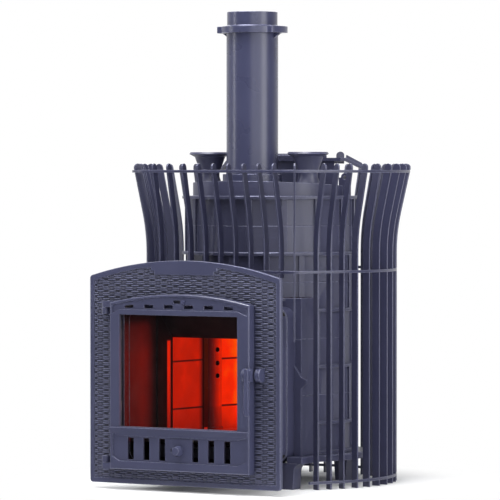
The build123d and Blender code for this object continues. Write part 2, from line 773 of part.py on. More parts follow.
def door_sill():
    """Moulded ledge under the glass."""
    z = SILL_Z
    y = DOOR_FRONT
    section = Polyline((y, z), (y - SILL_OUT, z - 1), (y - SILL_OUT, z - 4), (y, z - SILL_H), close=True)
    x0, x1 = DOOR_LEFT_X + 2, DOOR_RIGHT_X - 2
    bar = extrude(Plane.YZ * make_face(section), x1 - x0)
    return Pos(x0, 0, 0) * bar


def glass_rect(grow):
    return rect_xz(-GLASS_OPEN_HALF_W - grow, GLASS_OPEN_HALF_W + grow, GLASS_OPEN_LOW_Z - grow,
                   GLASS_OPEN_TOP_Z + grow)


GLASS_FRONT = DOOR_INNER + GLASS_SEAL_T
GLASS_BACK = GLASS_FRONT + GLASS_T


def glass_seal():
    return front_plate(glass_rect(GLASS_LAP) - glass_rect(0), DOOR_INNER, GLASS_FRONT)


def door_glass():
    return front_plate(glass_rect(GLASS_LAP), GLASS_FRONT, GLASS_BACK)


def glass_clips():
    """Clips screwed to the door beside the glass, each lapping over its edge."""
    clips = []
    edge = GLASS_OPEN_HALF_W + GLASS_LAP
    for side, z in clip_places():
        x0, x1 = side * (edge - CLIP_LAP), side * (edge + CLIP_REACH)
        low, high = z - CLIP_W / 2, z + CLIP_W / 2
        tongue = slab(x0, x1, GLASS_BACK, GLASS_BACK + CLIP_T, low, high)
        foot_x = side * (edge + SLIDE_GAP)
        clips.append(tongue + slab(foot_x, x1, DOOR_INNER, GLASS_BACK, low, high))
    return clips


def clip_screws():
    """Hexagon heads of the screws on the clips."""
    x = GLASS_OPEN_HALF_W + GLASS_LAP + CLIP_REACH / 2
    y = GLASS_BACK + CLIP_T
    return [front_plate(Pos(side * x, z) * RegularPolygon(SCREW_R, 6), y, y + HEAD_T)
            for side, z in clip_places()]


def door_rope():
    """Rope seal along the inside of the door's wall, just clear of the facing plate."""
    inset = DOOR_WALL
    ring = door_outline(inset) - door_outline(inset + ROPE_W)
    ring -= Pos(HANDLE_X, HANDLE_Z) * Rectangle(2 * SPINDLE_R + 10, 2 * SPINDLE_R + 10)
    return front_plate(ring, GLASS_BACK + CLIP_T + HEAD_T + SLIDE_GAP, PORTAL_Y - SLIDE_GAP)


def air_slide():
    """Sliding plate behind the air panel, with one window for each slot."""
    reach = AIR_SLOT_XS[2] + AIR_SLOT_W / 2 + 10
    plate = rect_xz(-reach, reach, AIR_SLOT_LOW_Z - 8, AIR_SLOT_TOP_Z + 8) - air_slots()
    y = DOOR_INNER + SLIDE_GAP
    return front_plate(plate, y, y + LOW_SLIDE_T)


def slide_knob():
    """Stem through the panel's slot, with a round faceted head."""
    stem = rod(STEM_R, (0, PANEL_FACE - 2, KNOB_Z), (0, DOOR_INNER + SLIDE_GAP, KNOB_Z))
    back = PANEL_FACE - SLIDE_GAP
    steps = ((KNOB_R, 0), (KNOB_R, 6), (KNOB_R - 4, KNOB_LEN))
    plans = [facing(back - out) * (Pos(0, KNOB_Z) * RegularPolygon(r, KNOB_SIDES)) for r, out in steps]
    return stem + loft(plans, ruled=True)


def guide_strips(reach, low, high, y):
    """Pair of stepped strips that keep a slide against the door."""
    strips = []
    for z, out in ((low, -1), (high, 1)):
        rail = slab(-reach, reach, DOOR_INNER, y + GUIDE_T, z + out * SLIDE_GAP, z + out * 4)
        lip = slab(-reach, reach, y + SLIDE_GAP, y + GUIDE_T, z + out * 4, z - out * 3)
        strips.append(rail + lip)
    return strips


def air_slide_guides():
    y = DOOR_INNER + SLIDE_GAP + LOW_SLIDE_T
    return guide_strips(GUIDE_HALF_W, AIR_SLOT_LOW_Z - 8, AIR_SLOT_TOP_Z + 8, y)


def top_slide():
    """Sliding plate behind the header slots: its left end is the edge that shuts the last slot."""
    low, high = GLASS_OPEN_TOP_Z + GLASS_LAP + 1, TOP_SLOT_Z + TOP_SLOT_H / 2 + 1
    left = TOP_SLOT_W / 2 - TOP_SLOT_XS[-1]
    turn = TOP_SLOT_XS[-1] - TOP_SLOT_W / 2
    right = TOP_SLOT_XS[-1] + TOP_SLOT_W / 2 + TOP_TRAVEL + TOP_SLIDE_LAP
    plate = make_face(Polyline((left, low), (right, low), (right, high - TOP_SLOT_FALL), (turn, high),
                               (left, high), close=True))
    plate += rect_xz(-25, 25, low, TOP_PIN_Z + 6)
    y = DOOR_INNER + SLIDE_GAP
    return front_plate(plate - top_slots(), y, y + TOP_SLIDE_T)


def top_slide_pin():
    back = DOOR_INNER + SLIDE_GAP
    front = DOOR_FRONT - 5
    shank = rod(TOP_PIN_R, (TOP_PIN_X, front, TOP_PIN_Z), (TOP_PIN_X, back, TOP_PIN_Z))
    head = rod(TOP_PIN_R + 1.6, (TOP_PIN_X, front, TOP_PIN_Z), (TOP_PIN_X, DOOR_FRONT + 2, TOP_PIN_Z))
    return shank + head


# Handle

def lever():
    """Flat lever on the hub's front, rounded at the top and swelling to a rounded tip."""
    x, half, swell = LEVER_X, LEVER_HALF_W, LEVER_SWELL
    top = HANDLE_Z + HUB_R - half
    low = LEVER_TIP_Z + swell
    sides = [(x - half, top), (x - swell, LEVER_SWELL_Z), (x - swell, low)]
    outline = Polyline(*sides)
    outline += ThreePointArc((x - swell, low), (x, LEVER_TIP_Z), (x + swell, low))
    outline += Polyline((x + swell, low), (x + swell, LEVER_SWELL_Z), (x + half, top))
    outline += ThreePointArc((x + half, top), (x, top + half), (x - half, top))
    bar = front_plate(make_face(outline), LEVER_FRONT, LEVER_FRONT + LEVER_T)
    return chamfer(bar.edges().group_by(Axis.Y)[0], 1.2)


def handle():
    """Half-round hub against the door, with the lever and the pad that joins them."""
    x0, x1 = HUB_X
    hub = Pos(x0, 0, 0) * extrude(Plane.YZ * half_disc(HUB_BACK, HUB_R, HANDLE_Z), x1 - x0)
    pad = slab(LEVER_X - LEVER_HALF_W, LEVER_X + LEVER_HALF_W, LEVER_FRONT + LEVER_T, HUB_BACK,
               HANDLE_Z - 8, HANDLE_Z + 12)
    return hub + pad + lever()


def latch_spindle():
    """Spindle of the handle, running through the door's boss."""
    return rod(SPINDLE_R, (HANDLE_X, HUB_BACK, HANDLE_Z), (HANDLE_X, DOOR_BACK + 1, HANDLE_Z))


# Firebox lining and inner pieces

def wall_panel(start, end):
    """Upright panel between two plan points, with its thickness on the outer side."""
    a, b = Vector(*start), Vector(*end)
    along = (b - a).normalized()
    out = Vector(along.Y, -along.X) * -1
    if out.X < 0:
        out = out * -1
    corners = [a, b, b + out * LINER_T, a + out * LINER_T]
    plan = make_face(Polyline(*[(c.X, c.Y) for c in corners], close=True))
    panel = extrude(Pos(0, 0, LINER_LOW_Z) * plan, LINER_TOP_Z - LINER_LOW_Z)
    for z in SEAM_ZS:
        strip = [a - out, b - out, b + out * SEAM_GROOVE, a + out * SEAM_GROOVE]
        groove = make_face(Polyline(*[(c.X, c.Y) for c in strip], close=True))
        panel -= extrude(Pos(0, 0, z) * groove, SEAM_GROOVE)
    return panel


def side_liner():
    return wall_panel(LINER_FRONT, LINER_SPLIT) + wall_panel(LINER_NEXT, LINER_BACK)


def air_column():
    """Half-round column on a small foot between the side panels, with three air holes."""
    x, y = COLUMN_XY
    height = LINER_TOP_Z - LINER_LOW_Z
    mid_z = (LINER_TOP_Z + LINER_LOW_Z) / 2
    tube = Pos(x, y, mid_z) * Cylinder(COLUMN_R, height)
    tube += Pos(x, y, LINER_LOW_Z + COLUMN_FOOT_T / 2) * Cylinder(COLUMN_FOOT_R, COLUMN_FOOT_T)
    tube -= Pos(x, y, mid_z) * Cylinder(COLUMN_R - 5, height)
    tube -= slab(x + 1, x + 2 * COLUMN_R, y - 2 * COLUMN_R, y + 2 * COLUMN_R, 0, 2 * LINER_TOP_Z)
    for z in COLUMN_HOLE_ZS:
        aim = Plane(origin=(x, y, z), z_dir=(-2, -1, 0))
        tube -= extrude(aim * RegularPolygon(COLUMN_HOLE_R, 8), 2 * COLUMN_R)
    return tube


def rear_liner():
    """Curved panel behind the fire."""
    ring = Circle(REAR_LINER_R) - Circle(REAR_LINER_R - LINER_T)
    x, y = LINER_BACK
    ring -= Pos(0, y + 12 - BORE_R) * Rectangle(4 * BORE_R, 2 * BORE_R)
    return extrude(Pos(0, 0, LINER_LOW_Z) * ring, LINER_TOP_Z - LINER_LOW_Z)


def hearth():
    """Floor of the firebox, carried by the neck and the ring, with the grate's opening."""
    half = NECK_HALF_W - NECK_STEP - NECK_WALL - SEAT_GAP
    neck = slab(-half, half, PORTAL_BACK + 2, FRONT_Y, HEARTH_Z, HEARTH_Z + HEARTH_T)
    disc = Pos(0, 0, HEARTH_Z + HEARTH_T / 2) * Cylinder(BORE_R - SEAT_GAP, HEARTH_T)
    disc -= slab(-BORE_R, BORE_R, -BORE_R, FRONT_Y + FRONT_WALL, HEARTH_Z, HEARTH_Z + HEARTH_T)
    throat_w = THROAT_HALF_W - SEAT_GAP
    link = slab(-throat_w, throat_w, FRONT_Y - 1, 0, HEARTH_Z, HEARTH_Z + HEARTH_T)
    floor = neck + disc + link
    grow = 2
    floor -= slab(-GRATE_HALF_W - grow, GRATE_HALF_W + grow, GRATE_Y[0] - grow, GRATE_Y[1] + grow,
                  HEARTH_Z + 4, HEARTH_Z + HEARTH_T)
    floor -= slab(8 - GRATE_HALF_W, GRATE_HALF_W - 8, GRATE_Y[0] + 8, GRATE_Y[1] - 8, HEARTH_Z,
                  HEARTH_Z + HEARTH_T)
    return floor


def grate():
    """Bar grate that drops into the hearth."""
    z0, z1 = HEARTH_Z + 4, HEARTH_Z + HEARTH_T
    y0, y1 = GRATE_Y
    frame = slab(-GRATE_HALF_W, GRATE_HALF_W, y0, y1, z0, z1)
    pitch = (2 * GRATE_HALF_W - 16) / GRATE_BARS
    for i in range(GRATE_BARS):
        x = 8 - GRATE_HALF_W + pitch * (i + 0.5)
        frame -= slab(x - pitch * 0.3, x + pitch * 0.3, y0 + 12, y1 - 12, z0, z1)
    return frame


def ash_pan():
    """Open pan that slides on the neck floor, welded from a floor plate and four walls."""
    low = BASE_TOP + SLIDE_GAP
    high = low + PAN_H
    front, back = PAN_Y
    half, wall = PAN_HALF_W, PAN_WALL
    floor = slab(-half, half, front, back, low, low + wall)
    front_wall = slab(-half, half, front, front + wall, low + wall, high)
    back_wall = slab(-half, half, back - wall, back, low + wall, high)
    right_wall = slab(half - wall, half, front + wall, back - wall, low + wall, high)
    left_wall = slab(-half, wall - half, front + wall, back - wall, low + wall, high)
    return floor, front_wall, back_wall, right_wall, left_wall


def ash_pan_grip():
    """Strip welded to the pan's front, by which it is drawn out."""
    low = BASE_TOP + SLIDE_GAP + PAN_GRIP_RISE
    front = PAN_Y[0]
    return slab(-PAN_GRIP_HALF_W, PAN_GRIP_HALF_W, front - PAN_GRIP_DEPTH, front, low, low + PAN_GRIP_T)


def firebox_baffle():
    """Plate above the fire that sends the smoke round its back edge."""
    disc = Pos(0, 0, BAFFLE_Z + BAFFLE_T / 2) * Cylinder(BORE_R - SEAT_GAP, BAFFLE_T)
    disc -= slab(-BORE_R, BORE_R, BAFFLE_BACK_Y, BORE_R, BAFFLE_Z, BAFFLE_Z + BAFFLE_T)
    disc -= slab(-BORE_R, BORE_R, -BORE_R, FRONT_Y + FRONT_WALL, BAFFLE_Z, BAFFLE_Z + BAFFLE_T)
    return disc


# Flue

def flue_collar():
    """Cast ring on the sloping lid that carries the pipe."""
    outer = PIPE_R + FLUE_COLLAR_W
    low, top = lid_z(FLUE_Y) - outer, lid_z(FLUE_Y) + FLUE_COLLAR_H
    ring = faceted([(outer, low), (outer, top)], ROUND_SIDES, 0, FLUE_Y)
    ring -= rod(PIPE_R - PIPE_WALL, (0, FLUE_Y, low), (0, FLUE_Y, top))
    ring -= rod(PIPE_R + SEAT_GAP, (0, FLUE_Y, pipe_seat_z()), (0, FLUE_Y, top))
    return ring - below_lid()


def pipe_seat_z():
    """Level of the pipe's lower end: just above the highest part of the lid under it."""
    return lid_z(FLUE_Y - PIPE_R) + 1


def flue_pipe():
    tube = rod(PIPE_R, (0, FLUE_Y, pipe_seat_z()), (0, FLUE_Y, FLANGE_Z))
    return tube - rod(PIPE_R - PIPE_WALL, (0, FLUE_Y, pipe_seat_z()), (0, FLUE_Y, FLANGE_Z))


def flue_spigot():
    """Oblong flange with a gusset under each ear, a spigot above it and a short skirt in the pipe."""
    top, skirt_low, edge = FLANGE_Z + FLANGE_T, FLANGE_Z - 15, 2.5
    ears = Rectangle(2 * FLANGE_HALF_L, FLANGE_R) & RegularPolygon(FLANGE_HALF_L, ROUND_SIDES)
    plan = RegularPolygon(FLANGE_R, ROUND_SIDES) + ears
    plate = extrude(Pos(0, FLUE_Y, FLANGE_Z) * plan, FLANGE_T)
    neck = faceted([(PIPE_R + edge, top), (SPIGOT_TOP_R, top + edge), (SPIGOT_TOP_R, top + 2 * edge)],
                   ROUND_SIDES, 0, FLUE_Y)
    spigot = rod(SPIGOT_TOP_R, (0, FLUE_Y, top), (0, FLUE_Y, SPIGOT_TOP_Z))
    skirt = rod(PIPE_R - PIPE_WALL - SEAT_GAP, (0, FLUE_Y, skirt_low), (0, FLUE_Y, FLANGE_Z))
    root = PIPE_R + SEAT_GAP
    web = make_face(Polyline((root, FLANGE_Z), (root, FLANGE_Z - GUSSET_H),
                             (FLANGE_HALF_L - 4, FLANGE_Z), close=True))
    web = front_plate(web, FLUE_Y - GUSSET_T / 2, FLUE_Y + GUSSET_T / 2)
    whole = plate + neck + spigot + skirt + both_sides(lambda: web)
    return whole - rod(SPIGOT_TOP_R - 4, (0, FLUE_Y, skirt_low), (0, FLUE_Y, SPIGOT_TOP_Z))


# Water funnels

def funnel(side):
    """Bell mouth, cone and tube with a spread foot."""
    x, y = side * FUNNEL_XY[0], FUNNEL_XY[1]
    rim, cone, tube, wall = FUNNEL_RIM_R, FUNNEL_CONE_R, TUBE_R, FUNNEL_WALL
    top, waist = FUNNEL_TOP_Z, FUNNEL_CONE_Z
    low = lid_z(y + TUBE_FOOT_R)
    outer = [(TUBE_FOOT_R, low), (tube, low + 18), (tube, waist), (cone, top - 12), (rim, top - 5),
             (rim - 3, top)]
    inner = [(tube - wall, low), (tube - wall, waist), (cone - wall, top - 9), (rim - 3, top)]
    body = faceted(outer, FUNNEL_SIDES, x, y) - faceted(inner, FUNNEL_SIDES, x, y)
    return body - below_lid()


# Heater hood

def slanted_plan(inset, y0, y1):
    """Plan between two depths whose ends follow the flaps' hinge lines, moved in by the inset."""
    turn = math.radians(FLAP_TURN)
    half0, half1 = (HINGE_FRONT_X - (y - ROOF_FRONT_Y) * math.tan(turn) - inset / math.cos(turn)
                    for y in (y0, y1))
    return make_face(Polyline((-half0, y0), (half0, y0), (half1, y1), (-half1, y1), close=True))


def slanted_block(inset, y0, y1, z0, z1):
    return extrude(Pos(0, 0, z0) * slanted_plan(inset, y0, y1), z1 - z0)


def at_hinge(side, shape):
    """Set a shape drawn with the hinge line along y, and outwards along +x, on one side."""
    right = Pos(HINGE_FRONT_X, ROOF_FRONT_Y, 0) * Rot(0, 0, FLAP_TURN) * shape
    return right if side > 0 else mirror(right, about=Plane.YZ)


def chamber_block(grow, z0, z1):
    return slanted_block(CHAMBER_INSET - grow, CHAMBER_FRONT_Y - grow, CHAMBER_BACK_Y + grow, z0, z1)


def heater_chamber():
    """Open pot for the heater's stones, hung from the underside of the lid below the hood."""
    z0, z1 = CHAMBER_DEPTH_Z, CAP_MID_Z
    pot = chamber_block(CHAMBER_WALL, z0, z1) - chamber_block(0, z0 + CHAMBER_WALL, z1)
    return pot - above_lid(SKIRT_WALL)


def heater_hood():
    """Box on the lid with a flat roof, outlets under the flaps, hinge lugs and flap stops."""
    base, wall = LEDGE_ZS[4], HOOD_WALL
    walls = slanted_block(HOOD_INSET, HOOD_FRONT_Y, HOOD_BACK_Y, base, ROOF_Z)
    walls -= slanted_block(HOOD_INSET + wall, HOOD_FRONT_Y + wall, HOOD_BACK_Y - wall, base, ROOF_Z)
    walls -= below_lid()
    roof = slanted_block(1, ROOF_FRONT_Y, ROOF_BACK_Y, ROOF_Z, ROOF_Z + ROOF_T)
    roof -= slanted_block(MOUTH_INSET, HOOD_FRONT_Y + 16, ROOF_BACK_Y - 16, ROOF_Z, ROOF_Z + ROOF_T)
    outlet = slab(-2 * HOOD_INSET, 0, *OUTLET_Y, CAP_MID_Z + 8, ROOF_Z - 8)
    lug, stop = hinge_lug(), slab(-HOOD_INSET - wall / 2, FLAP_BEND - 3, 0, STOP_W, ROOF_Z - 6,
                                  ROOF_Z - SLIDE_GAP)
    hood = walls + roof
    for side in (-1, 1):
        hood -= at_hinge(side, outlet)
        for y in (OUTLET_Y[0] - 1.5 * STOP_W, OUTLET_Y[1] + 0.5 * STOP_W):
            hood += at_hinge(side, Pos(0, y, 0) * stop)
        for y in lug_starts():
            hood += at_hinge(side, Pos(0, y, 0) * lug)
    return hood


def lug_starts():
    """Where each hinge lug begins, along the hinge line."""
    return FLAP_LUG_START, FLAP_LEN - 1 - FLAP_LUG_T


def hinge_lug():
    """Round lug on the roof's edge, bored for the flap's pin."""
    z, r = FLAP_HINGE_Z, FLAP_LUG_R
    lug = rod(r, (0, 0, z), (0, FLAP_LUG_T, z)) + slab(-r, 0, 0, FLAP_LUG_T, ROOF_Z + ROOF_T, z)
    return lug - rod(FLAP_PIN_R, (0, 0, z), (0, FLAP_LUG_T, z))


def hood_cover():
    """Raised cover over the hood's mouth, domed by cut edges."""
    lid = slanted_block(COVER_INSET, HOOD_FRONT_Y + 2, ROOF_BACK_Y - 6, ROOF_Z + ROOF_T, COVER_TOP_Z)
    return chamfer(lid.edges().group_by(Axis.Z)[-1], 5)


def flap_section():
    """Section across the flap: level up to the bend, then sloping, with its raised panel."""
    fall = math.tan(math.radians(FLAP_SLOPE))
    start, bend, end, z, t = -0.5, FLAP_BEND, FLAP_REACH, ROOF_Z, ROOF_T
    drop = (end - bend) * fall
    sheet = Polyline((start, z), (bend, z), (end, z - drop), (end, z - drop + t), (bend, z + t),
                     (start, z + t), close=True)
    a, b = bend + 2, end - FLAP_PANEL_INSET
    za, zb = z + t - (a - bend) * fall, z + t - (b - bend) * fall
    lift = FLAP_PANEL_T
    raised = Polyline((a, za), (b, zb), (b - 2, zb + lift), (a + 1, za + lift), close=True)
    return make_face(sheet), make_face(raised)


def flap(side):
    """Sloping flap with a raised panel, two eyes on its pin and grooves that clear the lugs."""
    sheet, raised = flap_section()
    inset, z, thick = FLAP_PANEL_INSET, FLAP_HINGE_Z, FLAP_LUG_T
    plate = front_plate(sheet, 0, FLAP_LEN) + front_plate(raised, inset, FLAP_LEN - inset)
    for y in lug_starts():
        plate -= rod(FLAP_LUG_R + 2 * SLIDE_GAP, (0, y - SLIDE_GAP, z), (0, y + thick + SLIDE_GAP, z))
    front, back = lug_starts()
    for y in (front + thick + SLIDE_GAP, back - thick - SLIDE_GAP):
        eye = rod(FLAP_EYE_R, (0, y, z), (0, y + thick, z))
        plate += eye + slab(-0.5, FLAP_LUG_R, y, y + thick, ROOF_Z + ROOF_T - 1, z)
    plate -= rod(FLAP_PIN_R + RUN_FIT, (0, 0, z), (0, FLAP_LEN, z))
    return at_hinge(side, plate)


def flap_pins():
    """One pin for each flap, through its lugs and eyes."""
    start, end = FLAP_LUG_START, FLAP_LEN - 1
    pin = rod(FLAP_PIN_R, (0, start, FLAP_HINGE_Z), (0, end, FLAP_HINGE_Z))
    return [at_hinge(side, pin) for side in (-1, 1)]


# Slatted cage

def notch(reach, z):
    """Corners of the notch that takes a bar, from its lower edge up."""
    low, high, floor = z - BAR_H / 2, z + BAR_H / 2, reach + flare_at(z) - BAR_T - SEAT_GAP
    return [(reach + flare_at(low), low), (floor, low), (floor, high), (reach + flare_at(high), high)]


def slat(reach, low_z):
    """Flat strip on edge: upright, then bent outwards, with a tip that is nearly round."""
    turn = math.radians(FLARE_ANGLE)
    w, r = SLAT_W, BEND_R
    centre = Vector(reach + r, BEND_Z)

    def arc_point(radius, angle):
        return centre + Vector(-math.cos(angle), math.sin(angle)) * radius

    lean = Vector(math.sin(turn), math.cos(turn))
    across = Vector(-math.cos(turn), math.sin(turn))
    outer_bend, inner_bend = arc_point(r, turn), arc_point(r + w, turn)
    run = (SLAT_TOP_Z - w / 2 - outer_bend.Y) / math.cos(turn)
    outer_top, inner_top = outer_bend + lean * run, inner_bend + lean * run
    middle = (outer_top + inner_top) * 0.5
    steps = [math.radians(180 * i / TIP_SIDES) for i in range(TIP_SIDES + 1)]
    tip = [middle - across * (w / 2 * math.cos(a)) + lean * (w / 2 * math.sin(a)) for a in steps]
    upright = [(reach - w, BEND_Z), (reach - w, low_z), (reach, low_z)]
    for z in (LOW_BAR_Z, WAIST_BAR_Z):
        upright += notch(reach, z) if z > low_z else []
    edge = Polyline(*upright, (reach, BEND_Z))
    edge += ThreePointArc((reach, BEND_Z), arc_point(r, turn / 2), outer_bend)
    edge += Polyline(outer_bend, *notch(reach, TOP_BAR_Z), outer_top)
    edge += Polyline(*tip)
    edge += Line(inner_top, inner_bend)
    edge += ThreePointArc(inner_bend, arc_point(r + w, turn / 2), (reach - w, BEND_Z))
    return extrude(facing(0) * make_face(edge), SLAT_T / 2, both=True)


def chamfer_reach(offset):
    """Distance of the chamfers from the body axis: they run on from the cage's round part."""
    return CAGE_R + offset - CAGE_Y * math.cos(math.radians(CHAMFER_ANGLE))


def cage_corner(offset):
    """Where the flat front meets the chamfer, with both moved out by offset."""
    turn = math.radians(CHAMFER_ANGLE)
    front, reach = CAGE_FRONT + offset, chamfer_reach(offset)
    return (reach - front * math.cos(turn)) / math.sin(turn), -front


def front_slats():
    strip = turned(slat(CAGE_FRONT, FRONT_SLAT_LOW_Z), 0)
    count = FRONT_SLAT_PAIRS
    return [Pos(FRONT_SLAT_PITCH * i, 0, 0) * strip for i in range(-count, count + 1)]


def corner_slats():
    """Slats on the line that halves each front corner, set back to the bend of the bars."""
    half_turn = CHAMFER_ANGLE / 2
    x, y = cage_corner(0)
    along = math.hypot(x, y) * math.cos(math.radians(half_turn) - math.atan2(x, -y))
    aside = math.hypot(x, y) * math.sin(math.atan2(x, -y) - math.radians(half_turn))
    set_back = CAGE_CORNER_R * (1 / math.cos(math.radians(half_turn)) - 1)
    set_back += (SLAT_T / 2) ** 2 / (2 * CAGE_CORNER_R)
    strip = slat(along - set_back, CORNER_SLAT_LOW_Z)
    right = turned(Pos(0, aside, 0) * strip, half_turn)
    return [right, mirror(right, about=Plane.YZ)]


def chamfer_slats():
    slats = []
    turn = math.radians(CHAMFER_ANGLE)
    x, y = cage_corner(0)
    for step in CHAMFER_SLAT_STEPS:
        px, py = x + step * math.cos(turn), y + step * math.sin(turn)
        aside = px * math.cos(turn) + py * math.sin(turn)
        right = turned(Pos(0, aside, 0) * slat(chamfer_reach(0), 0), CHAMFER_ANGLE)
        slats += [right, mirror(right, about=Plane.YZ)]
    return slats


def long_slats():
    strip = slat(CAGE_R, 0)
    turns = [LONG_SLAT_START + LONG_SLAT_PITCH * i for i in range(LONG_SLATS)]
    return [Pos(0, CAGE_Y, 0) * turned(strip, turn) for turn in turns]


def cage_outline(offset):
    """Plan of the cage: round, with a flat front and two chamfers, corners bent."""
    turn = math.radians(CHAMFER_ANGLE)
    reach = CAGE_R + offset
    side = (reach * math.sin(turn), CAGE_Y - reach * math.cos(turn))
    corner = cage_corner(offset)
    front = Polyline(side, corner, (-corner[0], corner[1]), (-side[0], side[1]))
    back = ThreePointArc(side, (0, CAGE_Y + reach), (-side[0], side[1]))
    outline = make_face(front + back)
    bends = outline.vertices().group_by(Axis.Y)[0]
    return fillet(bends, CAGE_CORNER_R + offset)


def cage_bar(z):
    """Flat bar let into the outer edges of the slats."""
    plan = cage_outline(flare_at(z)) - cage_outline(flare_at(z) - BAR_T)
    return extrude(Pos(0, 0, z - BAR_H / 2) * plan, BAR_H)


def low_bar():
    reach = 2 * CAGE_R
    return cage_bar(LOW_BAR_Z) - slab(-reach, reach, -reach, LOW_BAR_END_Y, 0, 2 * LOW_BAR_Z)


# Model

os.makedirs("parts", exist_ok=True)
write("base_plate", base_plate())
write("front_feet", foot(*FRONT_FOOT_XY), foot(-FRONT_FOOT_XY[0], FRONT_FOOT_XY[1]))
write("rear_feet", foot(*REAR_FOOT_XY), foot(-REAR_FOOT_XY[0], REAR_FOOT_XY[1]))
for tier in range(4):
    write(f"body_ring_{tier + 1}", body_ring(tier))
write("top_cap", top_cap())
write("firebox_neck", firebox_neck())
write("portal_bolts", *portal_bolts())
write("neck_brackets", *both_sides(neck_bracket))
write("throat_frame", throat_frame())
write("portal", portal())
write("hinge_pins", *hinge_pins())
write("latch_keeper", latch_keeper())
write("door_frame", door_frame())
write("glass_seal", glass_seal())
write("door_glass", door_glass())
write("glass_clips", *glass_clips())
write("clip_screws", *clip_screws())
write("door_rope", door_rope())
write("air_slide", air_slide())
write("air_slide_knob", slide_knob())
write("air_slide_guides", *air_slide_guides())
write("top_slide", top_slide())
write("top_slide_pin", top_slide_pin())
write("handle_lever", handle())
write("latch_spindle", latch_spindle())
write("side_liners", *both_sides(side_liner))
write("air_columns", *both_sides(air_column))
write("rear_liner", rear_liner())
write("hearth", hearth())
write("grate", grate())
write("ash_pan", *ash_pan())
write("ash_pan_grip", ash_pan_grip())
write("firebox_baffle", firebox_baffle())
write("flue_collar", flue_collar())
write("flue_pipe", flue_pipe())
write("flue_spigot", flue_spigot())
write("funnel_right", funnel(1))
write("funnel_left", funnel(-1))
write("heater_chamber", heater_chamber())
write("heater_hood", heater_hood())
write("hood_cover", hood_cover())
write("flap_right", flap(1))
write("flap_left", flap(-1))
write("flap_pins", *flap_pins())
write("cage_front_slats", *front_slats())
write("cage_corner_slats", *corner_slats())
write("cage_chamfer_slats", *chamfer_slats())
write("cage_long_slats", *long_slats())
write("cage_top_bar", cage_bar(TOP_BAR_Z))
write("cage_waist_bar", cage_bar(WAIST_BAR_Z))
write("cage_low_bar", low_bar())
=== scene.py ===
import json
import math

import bmesh
import bpy
from mathutils import Matrix, Vector

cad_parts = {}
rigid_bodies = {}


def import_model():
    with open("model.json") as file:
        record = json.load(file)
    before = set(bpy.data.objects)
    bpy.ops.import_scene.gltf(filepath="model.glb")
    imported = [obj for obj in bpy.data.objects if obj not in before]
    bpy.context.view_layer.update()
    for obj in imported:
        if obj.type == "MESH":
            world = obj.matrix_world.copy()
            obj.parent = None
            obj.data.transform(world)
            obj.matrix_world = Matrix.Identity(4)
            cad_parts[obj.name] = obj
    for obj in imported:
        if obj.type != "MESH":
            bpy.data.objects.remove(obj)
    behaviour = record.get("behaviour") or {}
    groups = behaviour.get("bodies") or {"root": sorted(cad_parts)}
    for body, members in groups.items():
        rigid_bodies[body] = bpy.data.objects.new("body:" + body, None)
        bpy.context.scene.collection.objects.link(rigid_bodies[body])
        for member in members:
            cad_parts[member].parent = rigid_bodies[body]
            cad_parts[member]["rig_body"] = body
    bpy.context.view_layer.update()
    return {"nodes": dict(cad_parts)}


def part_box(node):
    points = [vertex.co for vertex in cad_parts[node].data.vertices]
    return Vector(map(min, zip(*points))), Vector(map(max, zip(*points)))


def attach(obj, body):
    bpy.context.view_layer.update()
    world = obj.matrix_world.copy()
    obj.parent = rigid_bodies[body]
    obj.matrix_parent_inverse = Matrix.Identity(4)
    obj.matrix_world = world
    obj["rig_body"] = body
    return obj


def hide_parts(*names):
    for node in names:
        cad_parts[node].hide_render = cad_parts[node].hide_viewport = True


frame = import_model()

# The body's upright axis, 83.5 mm behind the flue pipe's
PIPE_LOW, PIPE_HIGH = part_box("flue_pipe")
AXIS_Y = (PIPE_LOW.y + PIPE_HIGH.y) / 2 + 0.0835


# Camera

def stand_camera():
    """The photograph's view: 31 degrees round to the right, far off and almost level."""
    lens = bpy.data.cameras.new("camera")
    lens.lens = 273.6
    lens.sensor_width = 36
    lens.clip_end = 60
    camera = bpy.data.objects.new("camera", lens)
    camera.location = (4.775, AXIS_Y - 7.948, 0.755)
    aim = Vector((-0.042, AXIS_Y - 0.0252, 0.564))
    camera.rotation_euler = (aim - camera.location).to_track_quat("-Z", "Y").to_euler()
    bpy.context.scene.collection.objects.link(camera)
    bpy.context.scene.camera = camera


# Node tree helpers

def linear(red, green, blue):
    """A screen colour of 0 to 255 as the shader's linear one."""
    def one(value):
        part = value / 255
        if part <= 0.04045:
            return part / 12.92
        return ((part + 0.055) / 1.055) ** 2.4
    return (one(red), one(green), one(blue), 1)


def add_node(tree, kind, **settings):
    made = tree.nodes.new(kind)
    for name, value in settings.items():
        setattr(made, name, value)
    return made


def feed(tree, socket, value):
    """Links a socket to another node's output, or sets it to a plain value."""
    if isinstance(value, bpy.types.NodeSocket):
        tree.links.new(value, socket)
    else:
        socket.default_value = value


def calc(tree, operation, *values, clamp=False):
    made = add_node(tree, "ShaderNodeMath", operation=operation, use_clamp=clamp)
    for socket, value in zip(made.inputs, values):
        feed(tree, socket, value)
    return made.outputs[0]


def spread(tree, value, low, high, to_low=0.0, to_high=1.0, smooth=False):
    """Maps low..high of a value to to_low..to_high, held beyond both ends."""
    made = add_node(tree, "ShaderNodeMapRange")
    made.interpolation_type = "SMOOTHSTEP" if smooth else "LINEAR"
    for label, number in (("Value", value), ("From Min", low), ("From Max", high),
                          ("To Min", to_low), ("To Max", to_high)):
        feed(tree, made.inputs[label], number)
    return made.outputs["Result"]


def blended(tree, factor, first, second, how="MIX"):
    made = add_node(tree, "ShaderNodeMix", data_type="RGBA", blend_type=how)
    feed(tree, made.inputs["Factor"], factor)
    feed(tree, made.inputs["A"], first)
    feed(tree, made.inputs["B"], second)
    return made.outputs["Result"]


